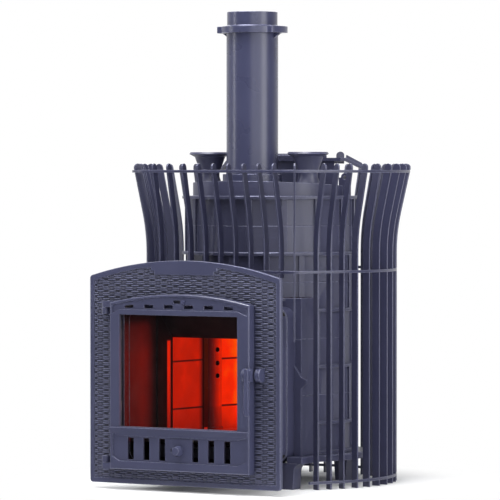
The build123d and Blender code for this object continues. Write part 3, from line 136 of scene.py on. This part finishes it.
def graded(tree, factor, stops):
    """A colour ramp through (place, colour) stops."""
    made = add_node(tree, "ShaderNodeValToRGB")
    bar = made.color_ramp.elements
    while len(bar) > 1:
        bar.remove(bar[-1])
    bar[0].position, bar[0].color = stops[0]
    for place, colour in stops[1:]:
        bar.new(place).color = colour
    feed(tree, made.inputs["Fac"], factor)
    return made.outputs["Color"]


def effect(name, inputs, outputs):
    """An empty node group with named sockets; inputs are (name, kind, value)."""
    group = bpy.data.node_groups.new(name, "ShaderNodeTree")
    for label, kind, value in inputs:
        socket = group.interface.new_socket(label, in_out="INPUT", socket_type=kind)
        socket.default_value = value
    for label, kind in outputs:
        group.interface.new_socket(label, in_out="OUTPUT", socket_type=kind)
    entry = add_node(group, "NodeGroupInput")
    leave = add_node(group, "NodeGroupOutput")
    return group, entry.outputs, leave.inputs


def placed(tree, group, **values):
    made = add_node(tree, "ShaderNodeGroup", node_tree=group)
    for label, value in values.items():
        feed(tree, made.inputs[label.replace("_", " ")], value)
    return made.outputs


def object_coords(tree):
    return add_node(tree, "ShaderNodeTexCoord").outputs["Object"]


def speckle(tree, coords, scale, detail=2.0, rough=0.5):
    made = add_node(tree, "ShaderNodeTexNoise")
    feed(tree, made.inputs["Vector"], coords)
    feed(tree, made.inputs["Scale"], scale)
    feed(tree, made.inputs["Detail"], detail)
    feed(tree, made.inputs["Roughness"], rough)
    return made.outputs["Fac"]


# Shared effects

def make_cast_grain():
    """Fine sand-cast tooth under paint, with a broad soft tone."""
    group, given, out = effect(
        "cast_grain",
        [("Coordinates", "NodeSocketVector", (0, 0, 0)), ("Grain", "NodeSocketFloat", 400)],
        [("Height", "NodeSocketFloat"), ("Tone", "NodeSocketFloat")])
    fine = speckle(group, given["Coordinates"], given["Grain"], 3.0, 0.6)
    broad = speckle(group, given["Coordinates"], 14.0, 2.0)
    swell = calc(group, "MULTIPLY", speckle(group, given["Coordinates"], 60.0), 0.6)
    feed(group, out["Height"], calc(group, "ADD", fine, swell))
    feed(group, out["Tone"], broad)
    return group


def make_painted_glow():
    """The colour of the painted glow, firelight and hot iron, for a level of 0, black, to 1,
    orange.
    """
    # The Heat input is the level of the painted glow.
    group, given, out = effect(
        "painted_fire_glow", [("Heat", "NodeSocketFloat", 0.5)], [("Colour", "NodeSocketColor")])
    feed(group, out["Colour"], graded(group, given["Heat"], [
        (0.0, (0.0, 0.0, 0.0, 1)), (0.12, linear(24, 5, 5)), (0.3, linear(80, 12, 10)),
        (0.5, linear(130, 18, 6)), (0.72, linear(190, 26, 2)), (0.88, linear(255, 40, 0)),
        (1.0, linear(255, 104, 0))]))
    return group


CAST_GRAIN = make_cast_grain()
PAINTED_GLOW = make_painted_glow()


# Finishes

def new_finish(name):
    material = bpy.data.materials.new(name)
    material.use_nodes = True
    tree = material.node_tree
    return material, tree, tree.nodes["Principled BSDF"]


def bumped(tree, height, strength, distance):
    made = add_node(tree, "ShaderNodeBump")
    made.inputs["Strength"].default_value = strength
    made.inputs["Distance"].default_value = distance
    feed(tree, made.inputs["Height"], height)
    return made.outputs["Normal"]


def painted_iron(name, colour, roughness, grain=500, tooth=0.04):
    """Semi-gloss stove paint over cast iron."""
    material, tree, surface = new_finish(name)
    coords = object_coords(tree)
    grainy = placed(tree, CAST_GRAIN, Coordinates=coords, Grain=grain)
    feed(tree, surface.inputs["Base Color"],
         blended(tree, spread(tree, grainy["Tone"], 0.3, 0.7),
                 tuple(0.92 * part for part in colour[:3]) + (1,), colour))
    feed(tree, surface.inputs["Roughness"],
         spread(tree, grainy["Tone"], 0.25, 0.75, roughness - 0.02, roughness + 0.03))
    feed(tree, surface.inputs["Normal"], bumped(tree, grainy["Height"], tooth, 0.0004))
    return material


def relief_iron_painted_light(name, low, high, roughness, deep, proud):
    """Stove paint paler on a relief's crowns, a painted highlight with some wear, and darker in
    its pits as painted shade, by depth in y.
    """
    material, tree, surface = new_finish(name)
    coords = object_coords(tree)
    grainy = placed(tree, CAST_GRAIN, Coordinates=coords, Grain=500)
    split = add_node(tree, "ShaderNodeSeparateXYZ")
    feed(tree, split.inputs[0], coords)
    # 0 in the pits, painted shade, to 1 on the crowns, painted highlight and wear
    crown_wear_and_highlight = spread(tree, split.outputs["Y"], deep, proud)
    toned_wear_and_highlight = calc(tree, "MULTIPLY", crown_wear_and_highlight, spread(tree, grainy["Tone"], 0.3, 0.7, 0.85, 1.0))
    feed(tree, surface.inputs["Base Color"], blended(tree, toned_wear_and_highlight, low, high))
    feed(tree, surface.inputs["Roughness"],
         spread(tree, crown_wear_and_highlight, 0.0, 1.0, roughness + 0.25, roughness))
    feed(tree, surface.inputs["Normal"], bumped(tree, grainy["Height"], 0.04, 0.0004))
    return material


def soot_and_shade_iron(name, colour):
    """Bare cast iron dulled by smoke; near black, it also serves as painted shade."""
    material, tree, surface = new_finish(name)
    coords = object_coords(tree)
    grainy = placed(tree, CAST_GRAIN, Coordinates=coords, Grain=300)
    feed(tree, surface.inputs["Base Color"],
         blended(tree, grainy["Tone"], colour, tuple(0.5 * part for part in colour[:3]) + (1,)))
    feed(tree, surface.inputs["Roughness"], spread(tree, grainy["Tone"], 0.3, 0.7, 0.7, 0.9))
    feed(tree, surface.inputs["Normal"], bumped(tree, grainy["Height"], 0.3, 0.0008))
    return material


def metres(depth):
    """A depth behind the body's axis in mm as a world y in metres."""
    return AXIS_Y + depth / 1000


# How deep and how high the painted glow reaches, in mm
GLOW_FRONT, GLOW_BACK = -400, 200
GLOW_TOP = 500


def painted_glow_iron(name, depths, heights, base=(20, 12, 12), aside=0.0):
    """Emission painted on the firebox's iron as its glow and the fire's light on it, set by height
    and depth into the firebox, less aside times |x|.

    depths and heights are (mm, glow) stops, depths behind the body's axis.
    """
    material, tree, surface = new_finish(name)
    coords = object_coords(tree)
    split = add_node(tree, "ShaderNodeSeparateXYZ")
    feed(tree, split.inputs[0], coords)
    sideways = calc(tree, "MULTIPLY", calc(tree, "ABSOLUTE", split.outputs["X"]), -aside)
    along = spread(tree, calc(tree, "ADD", split.outputs["Y"], sideways),
                   metres(GLOW_FRONT), metres(GLOW_BACK))
    glow_by_depth = graded(tree, along, [((depth - GLOW_FRONT) / (GLOW_BACK - GLOW_FRONT),
                                 (value, value, value, 1)) for depth, value in depths])
    up = spread(tree, split.outputs["Z"], 0.0, GLOW_TOP / 1000)
    level = graded(tree, up, [(height / GLOW_TOP, (value, value, value, 1))
                              for height, value in heights])
    uneven = spread(tree, speckle(tree, coords, 22.0, 2.0), 0.3, 0.7, 0.95, 1.05)
    painted_glow_level = calc(tree, "MULTIPLY", calc(tree, "MULTIPLY", glow_by_depth, level), uneven)
    glow = placed(tree, PAINTED_GLOW, Heat=painted_glow_level)
    # Painted glow: the part shines by emission though it is no lamp.
    feed(tree, surface.inputs["Emission Color"], glow["Colour"])
    surface.inputs["Emission Strength"].default_value = 1.0
    grainy = placed(tree, CAST_GRAIN, Coordinates=coords, Grain=300)
    feed(tree, surface.inputs["Base Color"],
         blended(tree, grainy["Tone"], linear(*base), linear(10, 8, 8)))
    feed(tree, surface.inputs["Roughness"], spread(tree, grainy["Tone"], 0.3, 0.7, 0.75, 0.95))
    feed(tree, surface.inputs["Normal"], bumped(tree, grainy["Height"], 0.2, 0.0008))
    return material


def rolled_steel(name, colour, roughness, metallic=1.0):
    """Plain steel with fine drawn marks."""
    material, tree, surface = new_finish(name)
    coords = object_coords(tree)
    stretch = add_node(tree, "ShaderNodeMapping")
    stretch.inputs["Scale"].default_value = (1, 1, 12)
    feed(tree, stretch.inputs["Vector"], coords)
    marks = speckle(tree, stretch.outputs[0], 160.0, 3.0)
    feed(tree, surface.inputs["Base Color"],
         blended(tree, marks, colour, tuple(0.7 * part for part in colour[:3]) + (1,)))
    feed(tree, surface.inputs["Roughness"],
         spread(tree, marks, 0.3, 0.7, roughness - 0.06, roughness + 0.06))
    surface.inputs["Metallic"].default_value = metallic
    feed(tree, surface.inputs["Normal"], bumped(tree, marks, 0.1, 0.0003))
    return material


def woven_rope(name):
    """Grey glass-fibre rope with a slanting plait."""
    material, tree, surface = new_finish(name)
    coords = object_coords(tree)
    split = add_node(tree, "ShaderNodeSeparateXYZ")
    feed(tree, split.inputs[0], coords)
    slant = calc(tree, "ADD", calc(tree, "ADD", split.outputs["X"], split.outputs["Z"]),
                 split.outputs["Y"])
    plait = calc(tree, "SINE", calc(tree, "MULTIPLY", slant, 2400.0))
    fibre = speckle(tree, coords, 900.0, 3.0)
    height = calc(tree, "ADD", plait, fibre)
    feed(tree, surface.inputs["Base Color"],
         blended(tree, spread(tree, height, -0.6, 1.4), linear(52, 50, 50), linear(120, 116, 110)))
    feed(tree, surface.inputs["Roughness"], spread(tree, fibre, 0.3, 0.7, 0.85, 0.98))
    feed(tree, surface.inputs["Normal"], bumped(tree, height, 0.6, 0.0008))
    return material


def clear_glass(name):
    """Heat-proof door glass, with the faintest haze."""
    material, tree, surface = new_finish(name)
    coords = object_coords(tree)
    feed(tree, surface.inputs["Base Color"],
         blended(tree, speckle(tree, coords, 9.0, 3.0), (1, 0.97, 0.94, 1), (0.95, 0.9, 0.86, 1)))
    surface.inputs["Roughness"].default_value = 0.0
    surface.inputs["Transmission Weight"].default_value = 1.0
    surface.inputs["IOR"].default_value = 1.45
    return material


BODY_PAINT = painted_iron("body_paint", linear(58, 59, 82), 0.34)
PORTAL_PAINT = painted_iron("portal_paint", linear(58, 60, 84), 0.32)
CAGE_PAINT = painted_iron("cage_paint", linear(50, 51, 74), 0.34, grain=700, tooth=0.03)
PIPE_PAINT = painted_iron("pipe_paint", linear(54, 56, 80), 0.28, grain=700, tooth=0.01)
# The relief's paint: dark in the pits as painted shade, pale on the crowns as painted highlight
# with some wear.
WEAVE_PAINT_LIT_AND_SHADED = relief_iron_painted_light("weave_paint_lit_and_shaded", linear(40, 41, 57), linear(84, 86, 110), 0.28,
                          metres(-391.3), metres(-393.8))
HANDLE_PAINT = painted_iron("handle_paint", linear(62, 64, 88), 0.24, grain=600, tooth=0.02)
# A paler, half-metallic paint for the eased edges: a painted highlight along them.
EDGE_HIGHLIGHT_PAINT = rolled_steel("painted_edge_highlight", linear(112, 114, 138), 0.28, 0.5)
SLIDE_STEEL = painted_iron("slide_steel", linear(40, 40, 52), 0.4, grain=700, tooth=0.03)
FASTENER = rolled_steel("fastener", linear(96, 97, 112), 0.38)
SOOT_IRON = soot_and_shade_iron("soot_iron", linear(34, 32, 33))
# Near-black iron in the air columns' bores and holes: painted shade.
BORE_SHADE_IRON = soot_and_shade_iron("bore_painted_shade", linear(22, 18, 18))
ROPE = woven_rope("rope_seal")
GLASS = clear_glass("fire_glass")
# Dark seams between the liners' courses, as (height, glow) stops in the painted glow
SEAMS = [(178.5, 0.93), (179.5, 0.3), (182.5, 0.3), (183.5, 0.97), (293.5, 1.0), (294.5, 0.35),
         (297, 0.35), (298, 1.0)]
# Painted glow on the firebox's walls, standing in for the fire's light and hot iron; the liners'
# finish keeps the name hot_liner.
LINER_PAINTED_GLOW = painted_glow_iron(
    "hot_liner",
    [(-400, 0.6), (-198, 0.74), (-96, 0.72), (-84, 0.45), (-76, 0.05), (-20, 0.1), (-8, 0.87),
     (30, 0.92), (56, 1.0), (200, 1.0)],
    [(110, 0.62), (135, 0.8)] + SEAMS + [(420, 0.95)])
# The columns' painted glow dims towards the front and, by aside, towards their outer sides:
# painted firelight on the side facing the fire.
COLUMN_PAINTED_GLOW = painted_glow_iron(
    "column_painted_glow",
    [(-312, 0.12), (-292, 0.18), (-271, 0.36), (-252, 0.66), (-238, 0.8), (-228, 0.76)],
    [(110, 0.6), (178, 0.85), (183, 1.0), (420, 1.0)], aside=1.664)
REAR_PAINTED_GLOW = painted_glow_iron("rear_painted_glow", [(0, 0.9), (200, 0.98)],
                        [(110, 0.3), (150, 0.62)] + SEAMS)
HEARTH_PAINTED_GLOW = painted_glow_iron("hearth_painted_glow", [(-370, 0.28), (-200, 0.5), (0, 0.86), (200, 0.9)],
                          [(0, 0.0), (121.5, 0.0), (124.5, 1.0), (500, 1.0)])
TUNNEL_PAINTED_GLOW = painted_glow_iron(
    "tunnel_painted_glow",
    [(-390, 0.31), (-350, 0.33), (-328, 0.37), (-305, 0.32), (-285, 0.18), (-268, 0.08),
     (-200, 0.02)],
    [(0, 0.0), (112, 0.0), (116, 0.85), (200, 0.95), (320, 1.05), (385, 0.7), (412, 0.15),
     (416, 0.0)])
THROAT_PAINTED_GLOW = painted_glow_iron(
    "throat_painted_glow",
    [(-400, 0.0), (-227, 0.0), (-225, 0.82), (-211, 0.78), (-209, 0.0)],
    [(0, 0.5), (126, 0.6), (200, 0.95), (346, 1.0), (351, 0.0)], base=(30, 26, 28))


# Pieces

def merged_copy(name):
    """A CAD node's mesh, merged, with the triangles of its flat faces joined."""
    shape = bmesh.new()
    shape.from_mesh(frame["nodes"][name].data)
    bmesh.ops.remove_doubles(shape, verts=shape.verts, dist=3e-6)
    bmesh.ops.dissolve_limit(shape, angle_limit=math.radians(0.4), use_dissolve_boundaries=False,
                             verts=shape.verts, edges=shape.edges, delimit=set())
    return shape


def finished(shape, name, body, materials, stands_for=()):
    """Turns a bmesh into a piece that rides on its body."""
    mesh = bpy.data.meshes.new(name)
    shape.to_mesh(mesh)
    shape.free()
    if "custom_normal" in mesh.attributes:
        mesh.attributes.remove(mesh.attributes["custom_normal"])
    for material in materials:
        mesh.materials.append(material)
    for face in mesh.polygons:
        face.use_smooth = True
    piece = bpy.data.objects.new(name, mesh)
    bpy.context.scene.collection.objects.link(piece)
    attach(piece, body)
    if stands_for:
        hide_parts(*stands_for)
    return piece


def weigh_edges(shape, width, angle=32):
    """Marks the sharp edges for easing, less wide where a neighbour leaves little room."""
    weight = shape.edges.layers.float.new("bevel_weight_edge")
    for edge in shape.edges:
        if len(edge.link_faces) != 2 or edge.calc_face_angle(0) < math.radians(angle):
            continue
        along = (edge.verts[1].co - edge.verts[0].co).normalized()
        room = width
        for corner in edge.verts:
            for other in corner.link_edges:
                away = other.other_vert(corner).co - corner.co
                across = (away - away.project(along)).length
                if across > 0.5 * away.length:
                    room = min(room, 0.42 * across)
        edge[weight] = room / width


def ease_edges(piece, width):
    """Rounds the marked edges; the new faces take the third finish, a paler half-metallic paint
    that paints a highlight along them.
    """
    bevel = piece.modifiers.new("eased_edges", "BEVEL")
    bevel.width = width
    bevel.segments = 2
    bevel.profile = 0.5
    bevel.limit_method = "WEIGHT"
    bevel.harden_normals = True
    bevel.use_clamp_overlap = False
    # the third finish, the painted edge highlight
    bevel.material = 2


def eased(name, slot, material, width, inside=None, inner=None):
    """A casting with eased edges in a painted highlight; faces that inside() picks get the inner
    finish.
    """
    shape = merged_copy(name)
    for face in shape.faces:
        face.material_index = 0
        if inside and inside(face.calc_center_median(), face.normal):
            face.material_index = 1
    weigh_edges(shape, width)
    body = frame["nodes"][name]["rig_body"]
    piece = finished(shape, name + "_eased", body, [material, inner or material, EDGE_HIGHLIGHT_PAINT],
                     (name,))
    ease_edges(piece, width)
    return piece


def dress(name, material):
    """Gives a CAD node that stays as it is its finish."""
    slots = frame["nodes"][name].data.materials
    slots.clear()
    slots.append(material)


TUNNEL_SIDE, TUNNEL_LOW, TUNNEL_TOP = 0.1635, 0.067, 0.4285
TUNNEL_FRONT, TUNNEL_END = metres(-380), metres(-185)
OPENING_SIDE, OPENING_LOW, OPENING_TOP = 0.1665, 0.1, 0.44
BORE_X, BORE_Y, BORE_RADIUS = 0.138, metres(-40), 0.0205


def in_tunnel(centre, normal):
    """Faces of the neck that look into the fire's way, and its front rim."""
    front = normal.y < -0.9 and centre.y < TUNNEL_FRONT
    inside = abs(centre.x) < TUNNEL_SIDE and TUNNEL_LOW < centre.z < TUNNEL_TOP
    return front or inside and normal.y < 0.5 and centre.y < TUNNEL_END


def in_opening(centre, normal):
    """Sides of the plate's opening round the fire's way."""
    inward = normal.x * centre.x < -0.5 * abs(centre.x)
    return inward and abs(centre.x) < OPENING_SIDE and OPENING_LOW < centre.z < OPENING_TOP


def in_column(centre, normal):
    """Faces of the air columns' bores and of their holes, which take painted shade."""
    return math.hypot(abs(centre.x) - BORE_X, centre.y - BORE_Y) < BORE_RADIUS


# The facing plate's woven relief: pairs of strands over one stake, single ones over the next.
# Each size is (width, rise, height).
STRAND_STEP = 0.03265
STRAND_PITCH = 0.00463
STRAND_SIZE = (0.0236, 0.0030, 0.0046)
STAKE_SIZE = (0.0120, 0.0016, 0.0100)
# The hollows' patches are barely raised, so they take the darkest paint: painted shade.
PIT_SHADE_SIZE = (0.0150, 0.0003, 0.0064)
STRAND_END = 0.55
WEAVE_X, WEAVE_Z = 0.0088, 0.0332
WEAVE_ROWS, WEAVE_REACH = 120, 9
FIELD_FACE = metres(-391)
FIELD_SIDE = 0.2520
FIELD_FOOT = 0.0265
FIELD_TOP_RADIUS = 0.8365
FIELD_TOP_CENTRE = -0.3030
PLATE_SIDE, PLATE_FOOT = 0.0845, 0.5095
SEAT_X, SEAT_Z = (-0.184, 0.189), (0.060, 0.440)


def crown(size):
    """A low bulge of a given size, its flat side on the field, blunter than a half egg."""
    shape = bmesh.new()
    bmesh.ops.create_uvsphere(shape, u_segments=8, v_segments=6, radius=1)
    bmesh.ops.rotate(shape, verts=shape.verts, matrix=Matrix.Rotation(math.radians(90), 3, "Y"))
    bmesh.ops.bisect_plane(shape, geom=shape.verts[:] + shape.edges[:] + shape.faces[:],
                           plane_co=(0, 0.02, 0), plane_no=(0, 1, 0), clear_outer=True)
    for corner in shape.verts:
        corner.co.x = math.copysign(abs(corner.co.x) ** STRAND_END, corner.co.x)
    bmesh.ops.scale(shape, verts=shape.verts, vec=(size[0] / 2, size[1], size[2] / 2))
    mesh = bpy.data.meshes.new("crown")
    shape.to_mesh(mesh)
    shape.free()
    return mesh


def trimmed(shape, place, outward):
    """Cuts a bulge off beyond a plane."""
    bmesh.ops.bisect_plane(shape, geom=shape.verts[:] + shape.edges[:] + shape.faces[:],
                           plane_co=place, plane_no=outward, clear_outer=True)


def in_field(x, z):
    """Whether a bulge centred here shows between the rim, the nameplate and the door's seat."""
    half = STRAND_SIZE[0] / 2
    on_seat = SEAT_X[0] < x < SEAT_X[1] and SEAT_Z[0] < z < SEAT_Z[1]
    on_plate = abs(x) < PLATE_SIDE and z > PLATE_FOOT
    arch = math.hypot(x, z - FIELD_TOP_CENTRE) > FIELD_TOP_RADIUS
    return not (on_seat or on_plate or arch) and abs(x) < FIELD_SIDE + half and z > FIELD_FOOT


def add_crown(whole, mesh, x, z):
    """Sets one bulge on the field, cut off where the rim and the nameplate stand."""
    if not in_field(x, z):
        return
    bulge = bmesh.new()
    bulge.from_mesh(mesh)
    bmesh.ops.translate(bulge, verts=bulge.verts, vec=(x, FIELD_FACE, z))
    lean = Vector((x, 0, z - FIELD_TOP_CENTRE)).normalized()
    trimmed(bulge, lean * FIELD_TOP_RADIUS + Vector((0, 0, FIELD_TOP_CENTRE)), lean)
    for side in (-1, 1):
        trimmed(bulge, (side * FIELD_SIDE, 0, 0), (side, 0, 0))
        if z > PLATE_FOOT and side * x > 0:
            trimmed(bulge, (side * PLATE_SIDE, 0, 0), (-side, 0, 0))
    part = bpy.data.meshes.new("bulge")
    bulge.to_mesh(part)
    bulge.free()
    whole.from_mesh(part)
    bpy.data.meshes.remove(part)


def weave_field():
    """Rows in threes: two with their strands in step, then one half a step aside.

    Beside a pair of strands shows the crown of a stake, beside a single one a shallow patch in the
    darkest paint, a painted shade for the hollow.
    """
    strand, stake, pit_shade_patch = crown(STRAND_SIZE), crown(STAKE_SIZE), crown(PIT_SHADE_SIZE)
    whole = bmesh.new()
    for row in range(WEAVE_ROWS):
        z = WEAVE_Z + (row - 0.5) * STRAND_PITCH
        aside = 0.5 if row % 3 == 2 else 0.0
        for step in range(-WEAVE_REACH, WEAVE_REACH):
            x = WEAVE_X + (step + aside) * STRAND_STEP
            add_crown(whole, strand, x, z)
            if row % 3 == 0:
                add_crown(whole, stake, x + 0.5 * STRAND_STEP, z + 0.5 * STRAND_PITCH)
            elif row % 3 == 2:
                add_crown(whole, pit_shade_patch, x + 0.5 * STRAND_STEP, z)
    for mesh in (strand, stake, pit_shade_patch):
        bpy.data.meshes.remove(mesh)
    return finished(whole, "portal_weave", "stove", [WEAVE_PAINT_LIT_AND_SHADED])


# Castings whose edges are eased: slot, finish and width, then any inner finish
EASED = {
    "body_ring_1": ("body_paint", BODY_PAINT, 0.0012),
    "body_ring_2": ("body_paint", BODY_PAINT, 0.0012),
    "body_ring_3": ("body_paint", BODY_PAINT, 0.0012),
    "body_ring_4": ("body_paint", BODY_PAINT, 0.0012),
    "top_cap": ("body_paint", BODY_PAINT, 0.0008),
    "base_plate": ("body_paint", BODY_PAINT, 0.0012),
    "front_feet": ("body_paint", BODY_PAINT, 0.0007),
    "rear_feet": ("body_paint", BODY_PAINT, 0.0007),
    # The neck's tunnel, the portal's opening and the air columns take the painted glow inside; the
    # columns' bores take painted shade.
    "firebox_neck": ("body_paint", BODY_PAINT, 0.0010, in_tunnel, TUNNEL_PAINTED_GLOW),
    "air_columns": ("hot_liner", COLUMN_PAINTED_GLOW, 0.0003, in_column, BORE_SHADE_IRON),
    "neck_brackets": ("body_paint", BODY_PAINT, 0.0008),
    "portal": ("portal_paint", PORTAL_PAINT, 0.0015, in_opening, TUNNEL_PAINTED_GLOW),
    "door_frame": ("portal_paint", PORTAL_PAINT, 0.0005),
    "latch_keeper": ("handle_steel", HANDLE_PAINT, 0.0010),
    "flue_spigot": ("body_paint", PIPE_PAINT, 0.0010),
    "flue_collar": ("body_paint", PIPE_PAINT, 0.0010),
    "hood_cover": ("body_paint", BODY_PAINT, 0.0010),
    "funnel_right": ("body_paint", BODY_PAINT, 0.0006),
    "funnel_left": ("body_paint", BODY_PAINT, 0.0006),
    "flap_right": ("body_paint", BODY_PAINT, 0.0004),
    "flap_left": ("body_paint", BODY_PAINT, 0.0004),
    "air_slide_knob": ("handle_steel", HANDLE_PAINT, 0.0008),
    "cage_top_bar": ("cage_paint", CAGE_PAINT, 0.0008),
    "cage_waist_bar": ("cage_paint", CAGE_PAINT, 0.0008),
    "cage_low_bar": ("cage_paint", CAGE_PAINT, 0.0008),
    "cage_front_slats": ("cage_paint", CAGE_PAINT, 0.0007),
    "cage_corner_slats": ("cage_paint", CAGE_PAINT, 0.0007),
    "cage_chamfer_slats": ("cage_paint", CAGE_PAINT, 0.0007),
    "cage_long_slats": ("cage_paint", CAGE_PAINT, 0.0007),
}

# Nodes that stay as they are, by finish
DRESSED = (
    (PIPE_PAINT, ("flue_pipe",)),
    (BODY_PAINT, ("heater_chamber", "heater_hood")),
    (HANDLE_PAINT, ("handle_lever", "top_slide_pin")),
    (FASTENER, ("portal_bolts", "hinge_pins", "flap_pins", "clip_screws", "glass_clips",
                "latch_spindle")),
    (SLIDE_STEEL, ("air_slide_guides", "air_slide", "top_slide", "ash_pan", "ash_pan_grip")),
    (ROPE, ("glass_seal", "door_rope")),
    (GLASS, ("door_glass",)),
    (SOOT_IRON, ("grate", "firebox_baffle")),
    (THROAT_PAINTED_GLOW, ("throat_frame",)),
    (LINER_PAINTED_GLOW, ("side_liners",)),
    (REAR_PAINTED_GLOW, ("rear_liner",)),
    (HEARTH_PAINTED_GLOW, ("hearth",)),
)

weave_field()
for casting, look in EASED.items():
    eased(casting, *look)
for finish, kept_nodes in DRESSED:
    for kept in kept_nodes:
        dress(kept, finish)


# Floor, backdrop and light

VIEW_X, VIEW_Y = -0.515, 0.857
FLOOR_RADIUS = 14
FADE_FROM, FADE_TO = 0.30, 0.62


def behind_stove(tree, parts):
    """How far a place or direction lies along the photograph's view."""
    return calc(tree, "ADD", calc(tree, "MULTIPLY", parts["X"], VIEW_X),
                calc(tree, "MULTIPLY", parts["Y"], VIEW_Y))


def undulled(tree, seen, kind):
    """Rays of a kind that no dull surface has scattered before."""
    return calc(tree, "MULTIPLY", seen[kind], calc(tree, "LESS_THAN", seen["Diffuse Depth"], 0.5))


def lay_floor():
    """A pale floor that keeps the stove's shadow and fades to white round it."""
    shape = bmesh.new()
    bmesh.ops.create_circle(shape, cap_ends=True, segments=96, radius=FLOOR_RADIUS)
    mesh = bpy.data.meshes.new("floor")
    shape.to_mesh(mesh)
    shape.free()
    floor = bpy.data.objects.new("floor", mesh)
    bpy.context.scene.collection.objects.link(floor)
    material, tree, surface = new_finish("pale_floor")
    coords = object_coords(tree)
    tone = speckle(tree, coords, 3.0)
    feed(tree, surface.inputs["Base Color"],
         blended(tree, tone, (0.92, 0.92, 0.92, 1), (0.95, 0.95, 0.95, 1)))
    feed(tree, surface.inputs["Roughness"], spread(tree, tone, 0.3, 0.7, 0.85, 0.95))
    far = add_node(tree, "ShaderNodeVectorMath", operation="LENGTH")
    feed(tree, far.inputs[0], coords)
    fade = spread(tree, far.outputs["Value"], FADE_FROM, FADE_TO, smooth=True)
    seen = add_node(tree, "ShaderNodeLightPath").outputs
    looked = calc(tree, "MAXIMUM", seen["Is Camera Ray"],
                  calc(tree, "MAXIMUM", undulled(tree, seen, "Is Glossy Ray"),
                       undulled(tree, seen, "Is Transmission Ray")))
    split = add_node(tree, "ShaderNodeSeparateXYZ")
    feed(tree, split.inputs[0], coords)
    in_front = spread(tree, behind_stove(tree, split.outputs), 0.6, -0.2)
    white = add_node(tree, "ShaderNodeEmission")
    feed(tree, white.inputs["Color"],
         blended(tree, calc(tree, "MULTIPLY", in_front, undulled(tree, seen, "Is Glossy Ray")),
                 (1, 1, 1, 1), (0.03, 0.032, 0.04, 1)))
    mixed = add_node(tree, "ShaderNodeMixShader")
    feed(tree, mixed.inputs["Fac"], calc(tree, "MULTIPLY", fade, looked))
    feed(tree, mixed.inputs[1], surface.outputs[0])
    feed(tree, mixed.inputs[2], white.outputs[0])
    feed(tree, tree.nodes["Material Output"].inputs["Surface"], mixed.outputs[0])
    mesh.materials.append(material)


def hang_sky():
    """Soft even light all round; white behind the stove where it is seen or mirrored."""
    world = bpy.data.worlds.new("studio")
    bpy.context.scene.world = world
    world.use_nodes = True
    tree = world.node_tree
    even = tree.nodes["Background"]
    even.inputs["Color"].default_value = (0.95, 0.97, 1.0, 1)
    even.inputs["Strength"].default_value = 0.26
    split = add_node(tree, "ShaderNodeSeparateXYZ")
    feed(tree, split.inputs[0], add_node(tree, "ShaderNodeTexCoord").outputs["Generated"])
    behind = behind_stove(tree, split.outputs)
    mirrored = add_node(tree, "ShaderNodeBackground")
    feed(tree, mirrored.inputs["Color"], graded(tree, spread(tree, behind, -1.0, 1.0), [
        (0.0, (0.04, 0.042, 0.055, 1)), (0.5, (0.14, 0.145, 0.18, 1)),
        (0.85, (0.9, 0.9, 0.92, 1)), (1.0, (1, 1, 1, 1))]))
    white = add_node(tree, "ShaderNodeBackground")
    white.inputs["Color"].default_value = (1, 1, 1, 1)
    seen = add_node(tree, "ShaderNodeLightPath").outputs
    shiny = add_node(tree, "ShaderNodeMixShader")
    feed(tree, shiny.inputs["Fac"], undulled(tree, seen, "Is Glossy Ray"))
    feed(tree, shiny.inputs[1], even.outputs[0])
    feed(tree, shiny.inputs[2], mirrored.outputs[0])
    shown = add_node(tree, "ShaderNodeMixShader")
    feed(tree, shown.inputs["Fac"],
         calc(tree, "MAXIMUM", seen["Is Camera Ray"], undulled(tree, seen, "Is Transmission Ray")))
    feed(tree, shown.inputs[1], shiny.outputs[0])
    feed(tree, shown.inputs[2], white.outputs[0])
    feed(tree, tree.nodes["World Output"].inputs["Surface"], shown.outputs[0])


def hang_lamp(name, bearing, distance, height, wide, tall, power, aim_z=0.6):
    """A soft box at a bearing in degrees round from the stove's front to its right."""
    lamp = bpy.data.lights.new(name, "AREA")
    lamp.shape = "RECTANGLE"
    lamp.size = wide
    lamp.size_y = tall
    lamp.energy = power
    box = bpy.data.objects.new(name, lamp)
    turn = math.radians(bearing)
    box.location = (distance * math.sin(turn), AXIS_Y - distance * math.cos(turn), height)
    aim = Vector((0, AXIS_Y, aim_z))
    box.rotation_euler = (aim - box.location).to_track_quat("-Z", "Y").to_euler()
    box.visible_camera = False
    bpy.context.scene.collection.objects.link(box)


stand_camera()
lay_floor()
hang_sky()
# Lamps as name, bearing, distance, height, width, depth and power
for lamp in (
        ("right_soft_box", 60, 3.0, 1.3, 4.4, 2.6, 60),
        ("right_core", 84, 2.9, 1.2, 1.3, 2.4, 30),
        ("left_strip", -55, 3.0, 1.2, 0.25, 2.4, 18),
        ("front_top", -8, 2.4, 3.2, 3.0, 1.6, 62),
        ("overhead", -10, 0.8, 3.2, 2.0, 1.0, 110),
        ("rear_rim", 211, 3.2, 2.9, 3.4, 0.9, 40)):
    hang_lamp(*lamp)
bpy.context.scene.view_settings.view_transform = "Standard"
